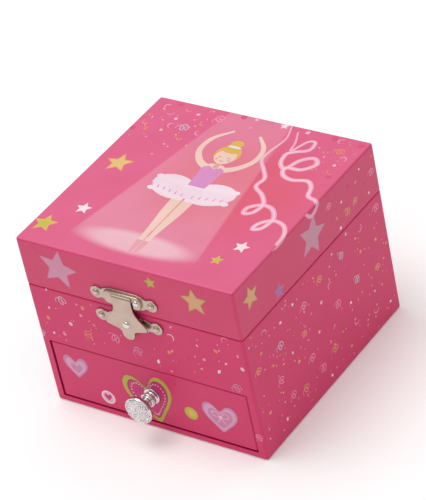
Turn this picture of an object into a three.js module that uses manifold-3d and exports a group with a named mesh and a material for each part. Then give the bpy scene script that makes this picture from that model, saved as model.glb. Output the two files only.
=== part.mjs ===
// A wind-up music box for a child's room: a board case with a drawer, a hinged lid with a
// latch and a mirror, and a comb-and-cylinder movement that turns a small dancer.
// Millimetres, +Z up, front towards -Y. The origin is the middle of the case's underside.
import * as THREE from "three";
import { mergeVertices } from "three/addons/utils/BufferGeometryUtils.js";
import Module from "manifold-3d";

const wasm = await Module();
wasm.setup();

// ---- Driving dimensions: case and lid ----
const WIDTH = 110;
const DEPTH = 110;
const HEIGHT = 88;
const SEAM = 63.5; // top edge of the case
const SEAM_GAP = 0.25; // air between the case and the closed lid
const BOARD = 4; // case walls
const LID_BOARD = 3.5;
const BASE_BOARD = 3;
const FRONT_PANEL_BOTTOM = 34; // the drawer's mouth is below it
const SHELF_BOTTOM = 36;
const SHELF_TOP = 38;
const PARTITION_Y = 24; // front face of the board behind the drawer
const PARTITION_THICKNESS = 2;
const LINING = 0.75;

const RIGHT = WIDTH / 2;
const BACK = DEPTH / 2;
const INNER_X = RIGHT - BOARD;
const INNER_Y = BACK - BOARD;
const LID_BOTTOM = SEAM + SEAM_GAP;
const LID_INNER = RIGHT - LID_BOARD;
const LID_CEILING = HEIGHT - LID_BOARD;

// ---- Driving dimensions: drawer and its knob ----
const DRAWER_GAP = 0.6;
const DRAWER_RECESS = 0.2; // the drawer's face lies this far behind the case's face
const DRAWER_BOARD = 2.5;
const DRAWER_FACE_BOARD = 3.5;
const DRAWER_FLOOR = 2;
const DRAWER_SIDE_TOP = 28;
const DRAWER_BACK_Y = 22;
const KNOB_Z = 18.5;
const KNOB_NECK = 7.95; // from the drawer's face to the back of the knob's head
const KNOB_HEAD_RADIUS = 6.75;

// ---- Driving dimensions: latch ----
const LATCH_X = -2.3;
const LATCH_SHEET = 0.8;
const LATCH_PLATE_Z = 70.2;
const CATCH_PLATE_Z = 58.3;
const LATCH_LOBE_X = 14; // nails sit this far either side of the latch's middle
const LATCH_LOBE_RADIUS = 3;
const HASP_AXIS_Y = -BACK - 1.5;
const HASP_AXIS_Z = 71.2;
const HASP_KNUCKLE_RADIUS = 1.2;
const HASP_NECK = 4.5; // half the neck's width

// ---- Driving dimensions: lid hinges ----
const HINGE_X = 32;
const HINGE_AXIS_Y = BACK + 1.8;
const HINGE_AXIS_Z = SEAM + SEAM_GAP / 2;
const HINGE_LEAF = 8; // height of each leaf
const HINGE_HALF_WIDTH = 9;
const HINGE_MIDDLE = 3; // half the length of the middle knuckle
const HINGE_KNUCKLE_RADIUS = 1.5;

// ---- Driving dimensions: movement ----
const CLEARANCE = 0.3; // between a shaft and its hole
const BEDPLATE_FACE_Y = INNER_Y - 2;
const KEY_Z = 25; // height of the winding arbor above the table
const ARBOR_RADIUS = 2;
const CROWN_TEETH = 24;
const CROWN_INNER = 7.6;
const CROWN_OUTER = 9.9;
const CROWN_PITCH_RADIUS = 8.75;
const CROWN_ROOT_Y = 39.5;
const CROWN_BACK_Y = 42;
const CYLINDER_PINION_TEETH = 6;
const DANCER_PINION_TEETH = 8;
const CYLINDER_WHEEL_TEETH = 28;
const GOVERNOR_PINION_TEETH = 7;
const GOVERNOR_WHEEL_TEETH = 20;
const CROWN_MODULE = (2 * CROWN_PITCH_RADIUS) / CROWN_TEETH;
const CROWN_PITCH_Y = CROWN_ROOT_Y - 1.1 * CROWN_MODULE;
const CYLINDER_PINION_RADIUS = (CROWN_MODULE * CYLINDER_PINION_TEETH) / 2;
const DANCER_PINION_RADIUS = (CROWN_MODULE * DANCER_PINION_TEETH) / 2;
const CYLINDER_Y = CROWN_PITCH_Y - CYLINDER_PINION_RADIUS;
const SPINDLE_Y = CROWN_PITCH_Y - DANCER_PINION_RADIUS;
const CYLINDER_WHEEL_RADIUS = 6.6;
const GOVERNOR_PINION_RADIUS = (CYLINDER_WHEEL_RADIUS * GOVERNOR_PINION_TEETH) / CYLINDER_WHEEL_TEETH;
const GOVERNOR_WHEEL_RADIUS = 4.4;
const GOVERNOR_Z = KEY_Z - CYLINDER_WHEEL_RADIUS - GOVERNOR_PINION_RADIUS;
const WORM_RADIUS = 1.1; // at the middle of the thread's depth
const WORM_LEAD = (2 * Math.PI * GOVERNOR_WHEEL_RADIUS) / GOVERNOR_WHEEL_TEETH;
const WORM_Z = GOVERNOR_Z - GOVERNOR_WHEEL_RADIUS - WORM_RADIUS;
const WORM_X = -36.25;
const FAN_RADIUS = 5;
const DRUM_RADIUS = 5.5;
const DRUM_LEFT = -30;
const DRUM_RIGHT = -12;
const COMB_TEETH = 18;
const COMB_TIP_Z = KEY_Z - DRUM_RADIUS - 0.9;
const STOP_PIN_X = WORM_X - FAN_RADIUS - 0.95;
const STOP_PIN_Y = 46;
const STOP_PIN_RADIUS = 0.6;

const X = new THREE.Vector3(1, 0, 0);
const Y = new THREE.Vector3(0, 1, 0);
const Z = new THREE.Vector3(0, 0, 1);

// ---- Materials ----
function standard(colour, roughness, metalness) {
  return new THREE.MeshStandardMaterial({ color: colour, roughness, metalness });
}

const finishes = {
  wrap: standard(0xcf4f7a, 0.45, 0),
  lining: standard(0xa00040, 0.7, 0),
  satin: standard(0xe58aa8, 0.6, 0),
  mirror: standard(0xdfe6ea, 0.05, 1),
  nickel: standard(0xbba58f, 0.3, 1),
  chrome: standard(0xd8d8dc, 0.1, 1),
  glitter: standard(0xc9c2cc, 0.25, 0.6),
  brass: standard(0xc9a24a, 0.3, 1),
  steel: standard(0x9a9ca0, 0.35, 1),
  castMetal: standard(0xb8b4a8, 0.45, 1),
  nylon: standard(0xf1efe6, 0.5, 0),
  figure: standard(0xf3d9d6, 0.4, 0),
};

// ---- Geometry helpers ----
function block([x0, x1], [y0, y1], [z0, z1]) {
  const geometry = new THREE.BoxGeometry(x1 - x0, y1 - y0, z1 - z0);
  return geometry.translate((x0 + x1) / 2, (y0 + y1) / 2, (z0 + z1) / 2);
}

function extruded(outline, depth, curveSegments) {
  return new THREE.ExtrudeGeometry(outline, { depth, bevelEnabled: false, curveSegments });
}

// An outline drawn in Y and Z, as thick as the span along X.
function plateAcrossX(outline, [x0, x1], curveSegments = 8) {
  const turn = new THREE.Matrix4().makeBasis(Y, Z, X);
  return extruded(outline, x1 - x0, curveSegments).applyMatrix4(turn).translate(x0, 0, 0);
}

// An outline drawn in X and Z, as thick as the span along Y.
function plateAcrossY(outline, [y0, y1], curveSegments = 8) {
  const turn = new THREE.Matrix4().makeBasis(X, Z, Y.clone().negate());
  return extruded(outline, y1 - y0, curveSegments).applyMatrix4(turn).translate(0, y1, 0);
}

// An outline drawn in X and Y, as thick as the span along Z.
function plateAcrossZ(outline, [z0, z1], curveSegments = 8) {
  return extruded(outline, z1 - z0, curveSegments).translate(0, 0, z0);
}

function rectangle([u0, u1], [v0, v1]) {
  const outline = new THREE.Shape();
  outline.moveTo(u0, v0).lineTo(u1, v0).lineTo(u1, v1).lineTo(u0, v1).closePath();
  return outline;
}

function roundHole(outline, u, v, radius) {
  outline.holes.push(new THREE.Path().absarc(u, v, radius, 0, 2 * Math.PI, true));
}

// A turned piece: its profile's points are a radius and a height along the direction.
function turned(profile, direction, origin, sides = 24) {
  const points = profile.map(([radius, height]) => new THREE.Vector2(radius, height));
  const turn = new THREE.Quaternion().setFromUnitVectors(Y, direction);
  const geometry = new THREE.LatheGeometry(points, sides).applyQuaternion(turn);
  return geometry.translate(origin.x, origin.y, origin.z);
}

// A round rod between two points.
function rod(radius, start, end, sides = 12) {
  const length = start.distanceTo(end);
  const direction = end.clone().sub(start).normalize();
  return turned([[0, 0], [radius, 0], [radius, length], [0, length]], direction, start, sides);
}

// A tube along a curve, closed at both ends.
function bent(curve, radius, steps, sides = 8) {
  const section = new THREE.Shape().absarc(0, 0, radius, 0, 2 * Math.PI);
  return new THREE.ExtrudeGeometry(section, {
    steps,
    curveSegments: sides / 2,
    bevelEnabled: false,
    extrudePath: curve,
  });
}

function solidOf(geometry) {
  const bare = geometry.clone();
  bare.deleteAttribute("normal");
  bare.deleteAttribute("uv");
  const merged = mergeVertices(bare, 1e-4);
  const vertProperties = merged.attributes.position.array;
  const triVerts = new Uint32Array(merged.index.array);
  return new wasm.Manifold(new wasm.Mesh({ numProp: 3, vertProperties, triVerts }));
}

function geometryOf(solid) {
  const mesh = solid.getMesh();
  const geometry = new THREE.BufferGeometry();
  geometry.setAttribute("position", new THREE.BufferAttribute(mesh.vertProperties, 3));
  geometry.setIndex(new THREE.BufferAttribute(mesh.triVerts, 1));
  geometry.computeVertexNormals();
  return geometry;
}

function joined(...pieces) {
  return geometryOf(pieces.map(solidOf).reduce((all, piece) => all.add(piece)));
}

function cut(geometry, ...tools) {
  return geometryOf(tools.map(solidOf).reduce((left, tool) => left.subtract(tool), solidOf(geometry)));
}

// A slim-toothed gear outline. The first tooth points along the phase angle.
function gearOutline(teeth, pitchRadius, phase) {
  const module = (2 * pitchRadius) / teeth;
  const root = pitchRadius - 1.05 * module;
  const tip = pitchRadius + 0.7 * module;
  const corners = [[root, -0.19], [tip, -0.07], [tip, 0.07], [root, 0.19]];
  const points = [];
  for (let tooth = 0; tooth < teeth; tooth += 1) {
    for (const [radius, share] of corners) {
      const angle = phase + ((tooth + share) * 2 * Math.PI) / teeth;
      points.push(new THREE.Vector2(radius * Math.cos(angle), radius * Math.sin(angle)));
    }
  }
  return new THREE.Shape(points);
}

// ---- The assembly ----
const musicBox = new THREE.Group();

function add(name, finish, geometry) {
  const mesh = new THREE.Mesh(geometry, finishes[finish]);
  mesh.name = name;
  musicBox.add(mesh);
}

// ---- Case: flat boards around a drawer bay, a movement bay and a tray ----
function addCase() {
  const wallHeight = [BASE_BOARD, SEAM];
  const between = [-INNER_X, INNER_X];
  add("base_board", "wrap", block([-RIGHT, RIGHT], [-BACK, BACK], [0, BASE_BOARD]));
  add("left_wall", "wrap", block([-RIGHT, -INNER_X], [-BACK, BACK], wallHeight));
  add("right_wall", "wrap", block([INNER_X, RIGHT], [-BACK, BACK], wallHeight));

  const backOutline = rectangle(between, wallHeight);
  roundHole(backOutline, 0, KEY_Z, 3.5);
  add("back_wall", "wrap", plateAcrossY(backOutline, [INNER_Y, BACK]));

  const frontOutline = rectangle(between, [FRONT_PANEL_BOTTOM, SEAM]);
  for (const side of [-1, 1]) {
    roundHole(frontOutline, LATCH_X + side * LATCH_LOBE_X, CATCH_PLATE_Z, 0.8);
  }
  add("front_panel", "wrap", plateAcrossY(frontOutline, [-BACK, -INNER_Y], 4));

  const shelfOutline = rectangle(between, [-INNER_Y, INNER_Y]);
  roundHole(shelfOutline, 0, SPINDLE_Y, 2.7);
  roundHole(shelfOutline, STOP_PIN_X, STOP_PIN_Y, STOP_PIN_RADIUS + CLEARANCE);
  add("shelf_board", "lining", plateAcrossZ(shelfOutline, [SHELF_BOTTOM, SHELF_TOP]));
  const partitionSpan = [PARTITION_Y, PARTITION_Y + PARTITION_THICKNESS];
  add("bay_partition", "lining", block(between, partitionSpan, [BASE_BOARD, SHELF_BOTTOM]));
}

// The card that splits the tray, T-shaped from above, and the soft pad for rings.
function addTray() {
  const crossY = [6, 8];
  const stemX = [-1, 1];
  const outline = new THREE.Shape();
  outline.moveTo(stemX[0], -INNER_Y).lineTo(stemX[1], -INNER_Y).lineTo(stemX[1], crossY[0]);
  outline.lineTo(INNER_X, crossY[0]).lineTo(INNER_X, crossY[1]).lineTo(-INNER_X, crossY[1]);
  outline.lineTo(-INNER_X, crossY[0]).lineTo(stemX[0], crossY[0]).closePath();
  add("tray_divider", "lining", plateAcrossZ(outline, [SHELF_TOP, SHELF_TOP + 16]));

  const gap = 0.5;
  const padX = [-INNER_X + gap, stemX[0] - gap];
  const padY = [-INNER_Y + gap, crossY[0] - gap];
  add("ring_pad", "satin", block(padX, padY, [SHELF_TOP + 0.25, SHELF_TOP + 13]));
}

// ---- Drawer with its turned knob ----
function addDrawer() {
  const faceY = -BACK + DRAWER_RECESS;
  const insideY = faceY + DRAWER_FACE_BOARD;
  const outerX = INNER_X - DRAWER_GAP;
  const innerX = outerX - DRAWER_BOARD;
  const bottom = BASE_BOARD + DRAWER_GAP;
  const sideHeight = [bottom, DRAWER_SIDE_TOP];
  const backFaceY = DRAWER_BACK_Y - DRAWER_BOARD;

  const face = rectangle([-outerX, outerX], [bottom, FRONT_PANEL_BOTTOM - DRAWER_GAP]);
  roundHole(face, 0, KNOB_Z, 1.5);
  add("drawer_front", "wrap", plateAcrossY(face, [faceY, insideY]));
  add("drawer_left", "lining", block([-outerX, -innerX], [insideY, DRAWER_BACK_Y], sideHeight));
  add("drawer_right", "lining", block([innerX, outerX], [insideY, DRAWER_BACK_Y], sideHeight));
  add("drawer_back", "lining", block([-innerX, innerX], [backFaceY, DRAWER_BACK_Y], sideHeight));
  const floorHeight = [bottom, bottom + DRAWER_FLOOR];
  add("drawer_bottom", "lining", block([-innerX, innerX], [insideY, backFaceY], floorHeight));

  const outward = Y.clone().negate();
  const knobBase = new THREE.Vector3(0, faceY, KNOB_Z);
  const stem = [
    [0, 5], [1.3, 5], [1.3, 0], [4, 0], [4, 0.9], [3, 1.5], [2.8, 2.8], [3.5, 3.4],
    [3.5, 4.2], [2.8, 4.8], [2.9, 6], [3.6, KNOB_NECK], [0, KNOB_NECK],
  ];
  add("knob_stem", "chrome", turned(stem, outward, knobBase));
  const rim = KNOB_HEAD_RADIUS;
  const head = [
    [0, KNOB_NECK], [5, KNOB_NECK], [rim, KNOB_NECK + 1.05], [rim, KNOB_NECK + 2.85],
    [5.2, KNOB_NECK + 4.05], [0, KNOB_NECK + 4.45],
  ];
  add("knob_head", "glitter", turned(head, outward, knobBase, 32));
  const screw = [
    [0, -5.2], [2.2, -5.2], [3, -4.4], [3, -3.5], [1, -3.5], [1, 4.4], [0, 4.4],
  ];
  add("knob_screw", "steel", turned(screw, outward, knobBase, 16));
}

// ---- Lid: five boards, a lining card and a mirror ----
function addLid() {
  const rise = [LID_BOTTOM, LID_CEILING];
  const across = [-RIGHT, RIGHT];
  const inside = [-LID_INNER, LID_INNER];
  add("lid_top", "wrap", block(across, [-BACK, BACK], [LID_CEILING, HEIGHT]));

  const frontOutline = rectangle(across, rise);
  for (const side of [-1, 1]) {
    roundHole(frontOutline, LATCH_X + side * LATCH_LOBE_X, LATCH_PLATE_Z, 0.8);
  }
  add("lid_front", "wrap", plateAcrossY(frontOutline, [-BACK, -LID_INNER], 4));
  add("lid_left", "wrap", block([-RIGHT, -LID_INNER], inside, rise));
  add("lid_right", "wrap", block([LID_INNER, RIGHT], inside, rise));

  // A block glued inside the back board pushes the stop pin down when the lid shuts.
  const pusher = block(
    [STOP_PIN_X - 3, STOP_PIN_X + 3],
    [STOP_PIN_Y - 2, LID_INNER + 1],
    [LID_BOTTOM, LID_BOTTOM + 4],
  );
  add("lid_back", "wrap", joined(block(across, [LID_INNER, BACK], rise), pusher));

  const liningReach = [-LID_INNER, LID_INNER];
  add("lid_lining", "lining", block(liningReach, liningReach, [LID_CEILING - LINING, LID_CEILING]));
  const mirrorZ = [LID_CEILING - LINING - 1.5, LID_CEILING - LINING];
  add("mirror", "mirror", block([-36, 36], [-30, 30], mirrorZ));
}

// ---- Latch: a hinged hasp on the lid and a catch plate on the case ----
// A plate with a straight middle and a round lobe at each end for a nail.
function wingedOutline(centreZ, halfWidth, halfHeight) {
  const neck = 2.3;
  const lobeStart = LATCH_LOBE_X - Math.sqrt(LATCH_LOBE_RADIUS ** 2 - neck ** 2);
  const lobeAngle = Math.asin(neck / LATCH_LOBE_RADIUS);
  const outline = new THREE.Shape();
  outline.moveTo(LATCH_X - halfWidth, centreZ - halfHeight);
  outline.lineTo(LATCH_X + halfWidth, centreZ - halfHeight);
  outline.lineTo(LATCH_X + halfWidth, centreZ - neck);
  outline.lineTo(LATCH_X + lobeStart, centreZ - neck);
  const right = [LATCH_X + LATCH_LOBE_X, centreZ, LATCH_LOBE_RADIUS];
  outline.absarc(...right, Math.PI + lobeAngle, 3 * Math.PI - lobeAngle, false);
  outline.lineTo(LATCH_X + halfWidth, centreZ + neck);
  outline.lineTo(LATCH_X + halfWidth, centreZ + halfHeight);
  outline.lineTo(LATCH_X - halfWidth, centreZ + halfHeight);
  outline.lineTo(LATCH_X - halfWidth, centreZ + neck);
  outline.lineTo(LATCH_X - lobeStart, centreZ + neck);
  const left = [LATCH_X - LATCH_LOBE_X, centreZ, LATCH_LOBE_RADIUS];
  outline.absarc(...left, lobeAngle, 2 * Math.PI - lobeAngle, false);
  outline.lineTo(LATCH_X - halfWidth, centreZ - neck);
  for (const side of [-1, 1]) {
    roundHole(outline, LATCH_X + side * LATCH_LOBE_X, centreZ, 0.8);
  }
  return outline;
}

function alongLatchPin(radius, halfLength) {
  const start = new THREE.Vector3(LATCH_X - halfLength, HASP_AXIS_Y, HASP_AXIS_Z);
  const end = new THREE.Vector3(LATCH_X + halfLength, HASP_AXIS_Y, HASP_AXIS_Z);
  return rod(radius, start, end, 16);
}

function addLatchPlate() {
  const sheetY = [-BACK - LATCH_SHEET, -BACK];
  const cheekFaceY = HASP_AXIS_Y - HASP_KNUCKLE_RADIUS;
  const windowX = [LATCH_X - HASP_NECK - 0.75, LATCH_X + HASP_NECK + 0.75];
  const sheet = plateAcrossY(wingedOutline(LATCH_PLATE_Z, 9.5, 4), sheetY, 6);
  const cheeks = block([LATCH_X - 9, LATCH_X + 9], [cheekFaceY, -BACK - 0.2], [66.8, 73.6]);
  const slot = block(windowX, [cheekFaceY - 1, -BACK - LATCH_SHEET], [66, 72.8]);
  const pocket = block(windowX, [cheekFaceY - 1, -BACK + 1], [69.4, 72.8]);
  const plate = cut(joined(sheet, cheeks), slot, pocket, alongLatchPin(0.8, 7.7));
  add("latch_plate", "nickel", plate);
  add("latch_pin", "steel", alongLatchPin(0.5, 7.4));
}

function addHasp() {
  const faceY = HASP_AXIS_Y - HASP_KNUCKLE_RADIUS;
  const bodyHalf = 10.4;
  const bodyTop = 58.6;
  const bodyBottom = 56.4;
  const tabRadius = 3.2;
  const tabZ = 53.4;
  const outline = new THREE.Shape();
  outline.moveTo(LATCH_X - HASP_NECK, HASP_AXIS_Z);
  outline.lineTo(LATCH_X - HASP_NECK, 66);
  outline.quadraticCurveTo(LATCH_X - HASP_NECK - 0.8, bodyTop + 3, LATCH_X - bodyHalf, bodyTop);
  outline.lineTo(LATCH_X - bodyHalf, bodyBottom);
  outline.quadraticCurveTo(LATCH_X - tabRadius - 0.3, bodyBottom - 0.3, LATCH_X - tabRadius, tabZ);
  outline.absarc(LATCH_X, tabZ, tabRadius, Math.PI, 2 * Math.PI, false);
  outline.quadraticCurveTo(
    LATCH_X + tabRadius + 0.3, bodyBottom - 0.3, LATCH_X + bodyHalf, bodyBottom,
  );
  outline.lineTo(LATCH_X + bodyHalf, bodyTop);
  outline.quadraticCurveTo(LATCH_X + HASP_NECK + 0.8, bodyTop + 3, LATCH_X + HASP_NECK, 66);
  outline.lineTo(LATCH_X + HASP_NECK, HASP_AXIS_Z).closePath();
  const tongue = plateAcrossY(outline, [faceY, faceY + LATCH_SHEET], 6);
  const knuckle = alongLatchPin(HASP_KNUCKLE_RADIUS, HASP_NECK);
  add("hasp", "nickel", cut(joined(tongue, knuckle), alongLatchPin(0.8, HASP_NECK + 1)));
}

function addCatchPlate() {
  const sheetY = [-BACK - LATCH_SHEET, -BACK];
  const sheet = plateAcrossY(wingedOutline(CATCH_PLATE_Z, 8.5, 3.2), sheetY, 6);
  const noseBase = new THREE.Vector3(LATCH_X, -BACK - 0.4, CATCH_PLATE_Z);
  const nose = turned([[0, 0], [2.2, 0], [1.6, 0.8], [0, 0.9]], Y.clone().negate(), noseBase, 16);
  add("catch_plate", "nickel", joined(sheet, nose));
}

function addLatchNails() {
  const profile = [
    [0, -3.2], [0.5, -2.8], [0.5, 0], [1.6, 0], [1.4, 0.45], [0.8, 0.75], [0, 0.85],
  ];
  const outward = Y.clone().negate();
  for (const [row, z] of [["upper", LATCH_PLATE_Z], ["lower", CATCH_PLATE_Z]]) {
    for (const [side, sign] of [["left", -1], ["right", 1]]) {
      const x = LATCH_X + sign * LATCH_LOBE_X;
      const place = new THREE.Vector3(x, -BACK - LATCH_SHEET, z);
      add(`latch_nail_${row}_${side}`, "nickel", turned(profile, outward, place, 12));
    }
  }
}

// ---- Lid hinges: two leaves and a pin each, on the outside of the back ----
function alongHingePin(centreX, radius, x0, x1) {
  const start = new THREE.Vector3(centreX + x0, HINGE_AXIS_Y, HINGE_AXIS_Z);
  const end = new THREE.Vector3(centreX + x1, HINGE_AXIS_Y, HINGE_AXIS_Z);
  return rod(radius, start, end, 16);
}

function addHinge(side, centreX) {
  const sheetY = [BACK, BACK + 0.8];
  const notch = HINGE_MIDDLE + 0.3;
  const reach = HINGE_KNUCKLE_RADIUS + 0.45;
  const full = [centreX - HINGE_HALF_WIDTH, centreX + HINGE_HALF_WIDTH];
  const bore = alongHingePin(centreX, 0.9, -HINGE_HALF_WIDTH - 1, HINGE_HALF_WIDTH + 1);

  const caseSheet = block(full, sheetY, [HINGE_AXIS_Z - HINGE_LEAF, HINGE_AXIS_Z - reach]);
  const caseTongue = block(
    [centreX - HINGE_MIDDLE, centreX + HINGE_MIDDLE],
    sheetY,
    [HINGE_AXIS_Z - reach - 1, HINGE_AXIS_Z - 0.3],
  );
  const middle = alongHingePin(centreX, HINGE_KNUCKLE_RADIUS, -HINGE_MIDDLE, HINGE_MIDDLE);
  add(`hinge_${side}_case_leaf`, "nickel", cut(joined(caseSheet, caseTongue, middle), bore));

  const lidSheet = block(full, sheetY, [HINGE_AXIS_Z + reach, HINGE_AXIS_Z + HINGE_LEAF]);
  const lidTongues = [-1, 1].map((sign) => {
    const ends = [centreX + sign * notch, centreX + sign * HINGE_HALF_WIDTH].sort((a, b) => a - b);
    return block(ends, sheetY, [HINGE_AXIS_Z + 0.3, HINGE_AXIS_Z + reach + 1]);
  });
  const outer = [
    alongHingePin(centreX, HINGE_KNUCKLE_RADIUS, -HINGE_HALF_WIDTH, -notch),
    alongHingePin(centreX, HINGE_KNUCKLE_RADIUS, notch, HINGE_HALF_WIDTH),
  ];
  add(`hinge_${side}_lid_leaf`, "nickel", cut(joined(lidSheet, ...lidTongues, ...outer), bore));
  const pinReach = HINGE_HALF_WIDTH + 0.4;
  add(`hinge_${side}_pin`, "steel", alongHingePin(centreX, 0.6, -pinReach, pinReach));
}

// ---- Movement: bedplate, spring barrel, comb and bearings, all fixed to the back wall ----
function addBedplate() {
  const outline = rectangle([-44, 13], [4.5, 35]);
  roundHole(outline, 0, KEY_Z, ARBOR_RADIUS + CLEARANCE);
  roundHole(outline, WORM_X, WORM_Z, 1);
  const plate = plateAcrossY(outline, [BEDPLATE_FACE_Y, INNER_Y]);
  const combSeat = block([-29, -13], [37.5, BEDPLATE_FACE_Y + 0.5], [4.5, 8.5]);
  const screwHoles = combScrewPlaces().map((x) => rodAcrossY(x, 6.5, 0.9, 37, 44));
  add("bedplate", "castMetal", cut(joined(plate, combSeat), ...screwHoles));
}

function combScrewPlaces() {
  return [DRUM_LEFT + 4.5, DRUM_RIGHT - 4.5];
}

function rodAcrossY(x, z, radius, y0, y1, sides = 16) {
  return rod(radius, new THREE.Vector3(x, y0, z), new THREE.Vector3(x, y1, z), sides);
}

function rodAcrossX(y, z, radius, x0, x1, sides = 16) {
  return rod(radius, new THREE.Vector3(x0, y, z), new THREE.Vector3(x1, y, z), sides);
}

function addSpringBarrel() {
  const centre = new THREE.Vector3(0, 0, KEY_Z);
  const open = CROWN_BACK_Y + 0.8;
  const can = [
    [8.2, open], [9, open], [9, BEDPLATE_FACE_Y], [2.6, BEDPLATE_FACE_Y],
    [2.6, BEDPLATE_FACE_Y - 0.8], [8.2, BEDPLATE_FACE_Y - 0.8], [8.2, open],
  ];
  add("spring_barrel", "brass", turned(can, Y, centre, 40));
}

// A flat spiral ribbon, wound from the barrel's wall to near the arbor.
function addMainspring() {
  const turns = 4.5;
  const stepsPerTurn = 20;
  const thickness = 0.3;
  const inner = 3;
  const outer = 7.7;
  const steps = turns * stepsPerTurn;
  const edge = (offset) => {
    const points = [];
    for (let step = 0; step <= steps; step += 1) {
      const angle = (step * 2 * Math.PI) / stepsPerTurn;
      const radius = inner + ((outer - inner) * step) / steps + offset;
      points.push(new THREE.Vector2(radius * Math.cos(angle), KEY_Z + radius * Math.sin(angle)));
    }
    return points;
  };
  const outline = new THREE.Shape([...edge(thickness), ...edge(0).reverse()]);
  add("mainspring", "steel", plateAcrossY(outline, [CROWN_BACK_Y + 1.4, BEDPLATE_FACE_Y - 1.2]));
}

function addWinder() {
  const centre = new THREE.Vector3(0, 0, KEY_Z);
  const shoulder = CROWN_BACK_Y;
  const arbor = [
    [0, 38.4], [ARBOR_RADIUS, 38.4], [ARBOR_RADIUS, shoulder], [2.7, shoulder],
    [2.7, shoulder + 0.5], [ARBOR_RADIUS, shoulder + 0.5], [ARBOR_RADIUS, 57.5],
    [1.5, 57.5], [1.5, 62], [0, 62],
  ];
  add("winding_arbor", "steel", turned(arbor, Y, centre));

  const bore = ARBOR_RADIUS + CLEARANCE;
  const disc = [
    [bore, CROWN_ROOT_Y], [10.1, CROWN_ROOT_Y], [10.1, CROWN_BACK_Y],
    [bore, CROWN_BACK_Y], [bore, CROWN_ROOT_Y],
  ];
  const teeth = Array.from({ length: CROWN_TEETH }, (_, tooth) => crownTooth(tooth));
  add("crown_wheel", "brass", joined(turned(disc, Y, centre, 48), ...teeth));

  const lobes = [-1, 1].map((sign) => {
    const outline = new THREE.Shape().absellipse(sign * 6.4, 64.2, 5.4, 4, 0, 2 * Math.PI);
    return plateAcrossZ(outline, [KEY_Z - 0.9, KEY_Z + 0.9], 12);
  });
  const bridge = block([-3, 3], [60.4, 66.4], [KEY_Z - 0.9, KEY_Z + 0.9]);
  const hub = turned([[0, 57.75], [3, 57.75], [3, 63], [2, 64], [0, 64]], Y, centre);
  const socket = rodAcrossY(0, KEY_Z, 1.8, 57, 62.3);
  add("winding_key", "chrome", cut(joined(hub, bridge, ...lobes), socket));
}

// One tooth of the crown wheel, standing towards -Y from the wheel's face.
function crownTooth(tooth) {
  const pitch = (2 * Math.PI) / CROWN_TEETH;
  const buried = CROWN_ROOT_Y + 0.5;
  const tip = CROWN_PITCH_Y - 0.7 * CROWN_MODULE;
  const corners = [];
  for (const radius of [CROWN_INNER, CROWN_OUTER]) {
    for (const [share, y] of [[-0.22, buried], [-0.07, tip], [0.07, tip], [0.22, buried]]) {
      const angle = (tooth + share) * pitch;
      corners.push(radius * Math.sin(angle), y, KEY_Z + radius * Math.cos(angle));
    }
  }
  const faces = [0, 2, 1, 0, 3, 2, 4, 5, 6, 4, 6, 7, 0, 1, 5, 0, 5, 4];
  faces.push(1, 2, 6, 1, 6, 5, 2, 3, 7, 2, 7, 6, 3, 0, 4, 3, 4, 7);
  const geometry = new THREE.BufferGeometry();
  geometry.setAttribute("position", new THREE.Float32BufferAttribute(corners, 3));
  geometry.setIndex(faces);
  return geometry;
}

// A gear on an axis along X: its outline is moved from the origin to the axis.
function gearAcrossX(teeth, pitchRadius, phase, y, z, span) {
  return plateAcrossX(gearOutline(teeth, pitchRadius, phase), span).translate(0, y, z);
}

function addCylinder() {
  const wheelX = [-32.5, -31];
  const pinionX = [-CROWN_PITCH_RADIUS - 0.9, -CROWN_PITCH_RADIUS + 0.9];
  const halfPitch = Math.PI / CYLINDER_PINION_TEETH;
  const pinion = gearAcrossX(
    CYLINDER_PINION_TEETH, CYLINDER_PINION_RADIUS, halfPitch, CYLINDER_Y, KEY_Z, pinionX,
  );
  const shaft = rodAcrossX(CYLINDER_Y, KEY_Z, 0.9, -34.4, -6.6);
  add("cylinder_arbor", "steel", joined(pinion, shaft));

  const wheel = gearAcrossX(
    CYLINDER_WHEEL_TEETH, CYLINDER_WHEEL_RADIUS, -Math.PI / 2, CYLINDER_Y, KEY_Z, wheelX,
  );
  const wheelBore = rodAcrossX(CYLINDER_Y, KEY_Z, 0.9 + CLEARANCE, -34, -30);
  add("cylinder_wheel", "brass", cut(wheel, wheelBore));

  const drum = rodAcrossX(CYLINDER_Y, KEY_Z, DRUM_RADIUS, DRUM_LEFT, DRUM_RIGHT, 36);
  const drumBore = rodAcrossX(CYLINDER_Y, KEY_Z, 0.9 + CLEARANCE, DRUM_LEFT - 1, DRUM_RIGHT + 1);
  add("cylinder_drum", "brass", cut(joined(drum, ...drumPins()), drumBore));
}

// Two rows of pins for each comb tooth, spread round the drum by the golden angle.
function drumPins() {
  const goldenAngle = Math.PI * (3 - Math.sqrt(5));
  const pins = [];
  for (let note = 0; note < COMB_TEETH * 2; note += 1) {
    const x = combToothX(note % COMB_TEETH);
    const angle = note * goldenAngle;
    const inward = new THREE.Vector3(0, Math.cos(angle), Math.sin(angle));
    const centre = new THREE.Vector3(x, CYLINDER_Y, KEY_Z);
    const foot = centre.clone().addScaledVector(inward, DRUM_RADIUS - 0.4);
    const tip = centre.clone().addScaledVector(inward, DRUM_RADIUS + 0.5);
    pins.push(rod(0.22, foot, tip, 5));
  }
  return pins;
}

function combToothX(tooth) {
  const pitch = (DRUM_RIGHT - DRUM_LEFT) / COMB_TEETH;
  return DRUM_LEFT + (tooth + 0.5) * pitch;
}

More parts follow.
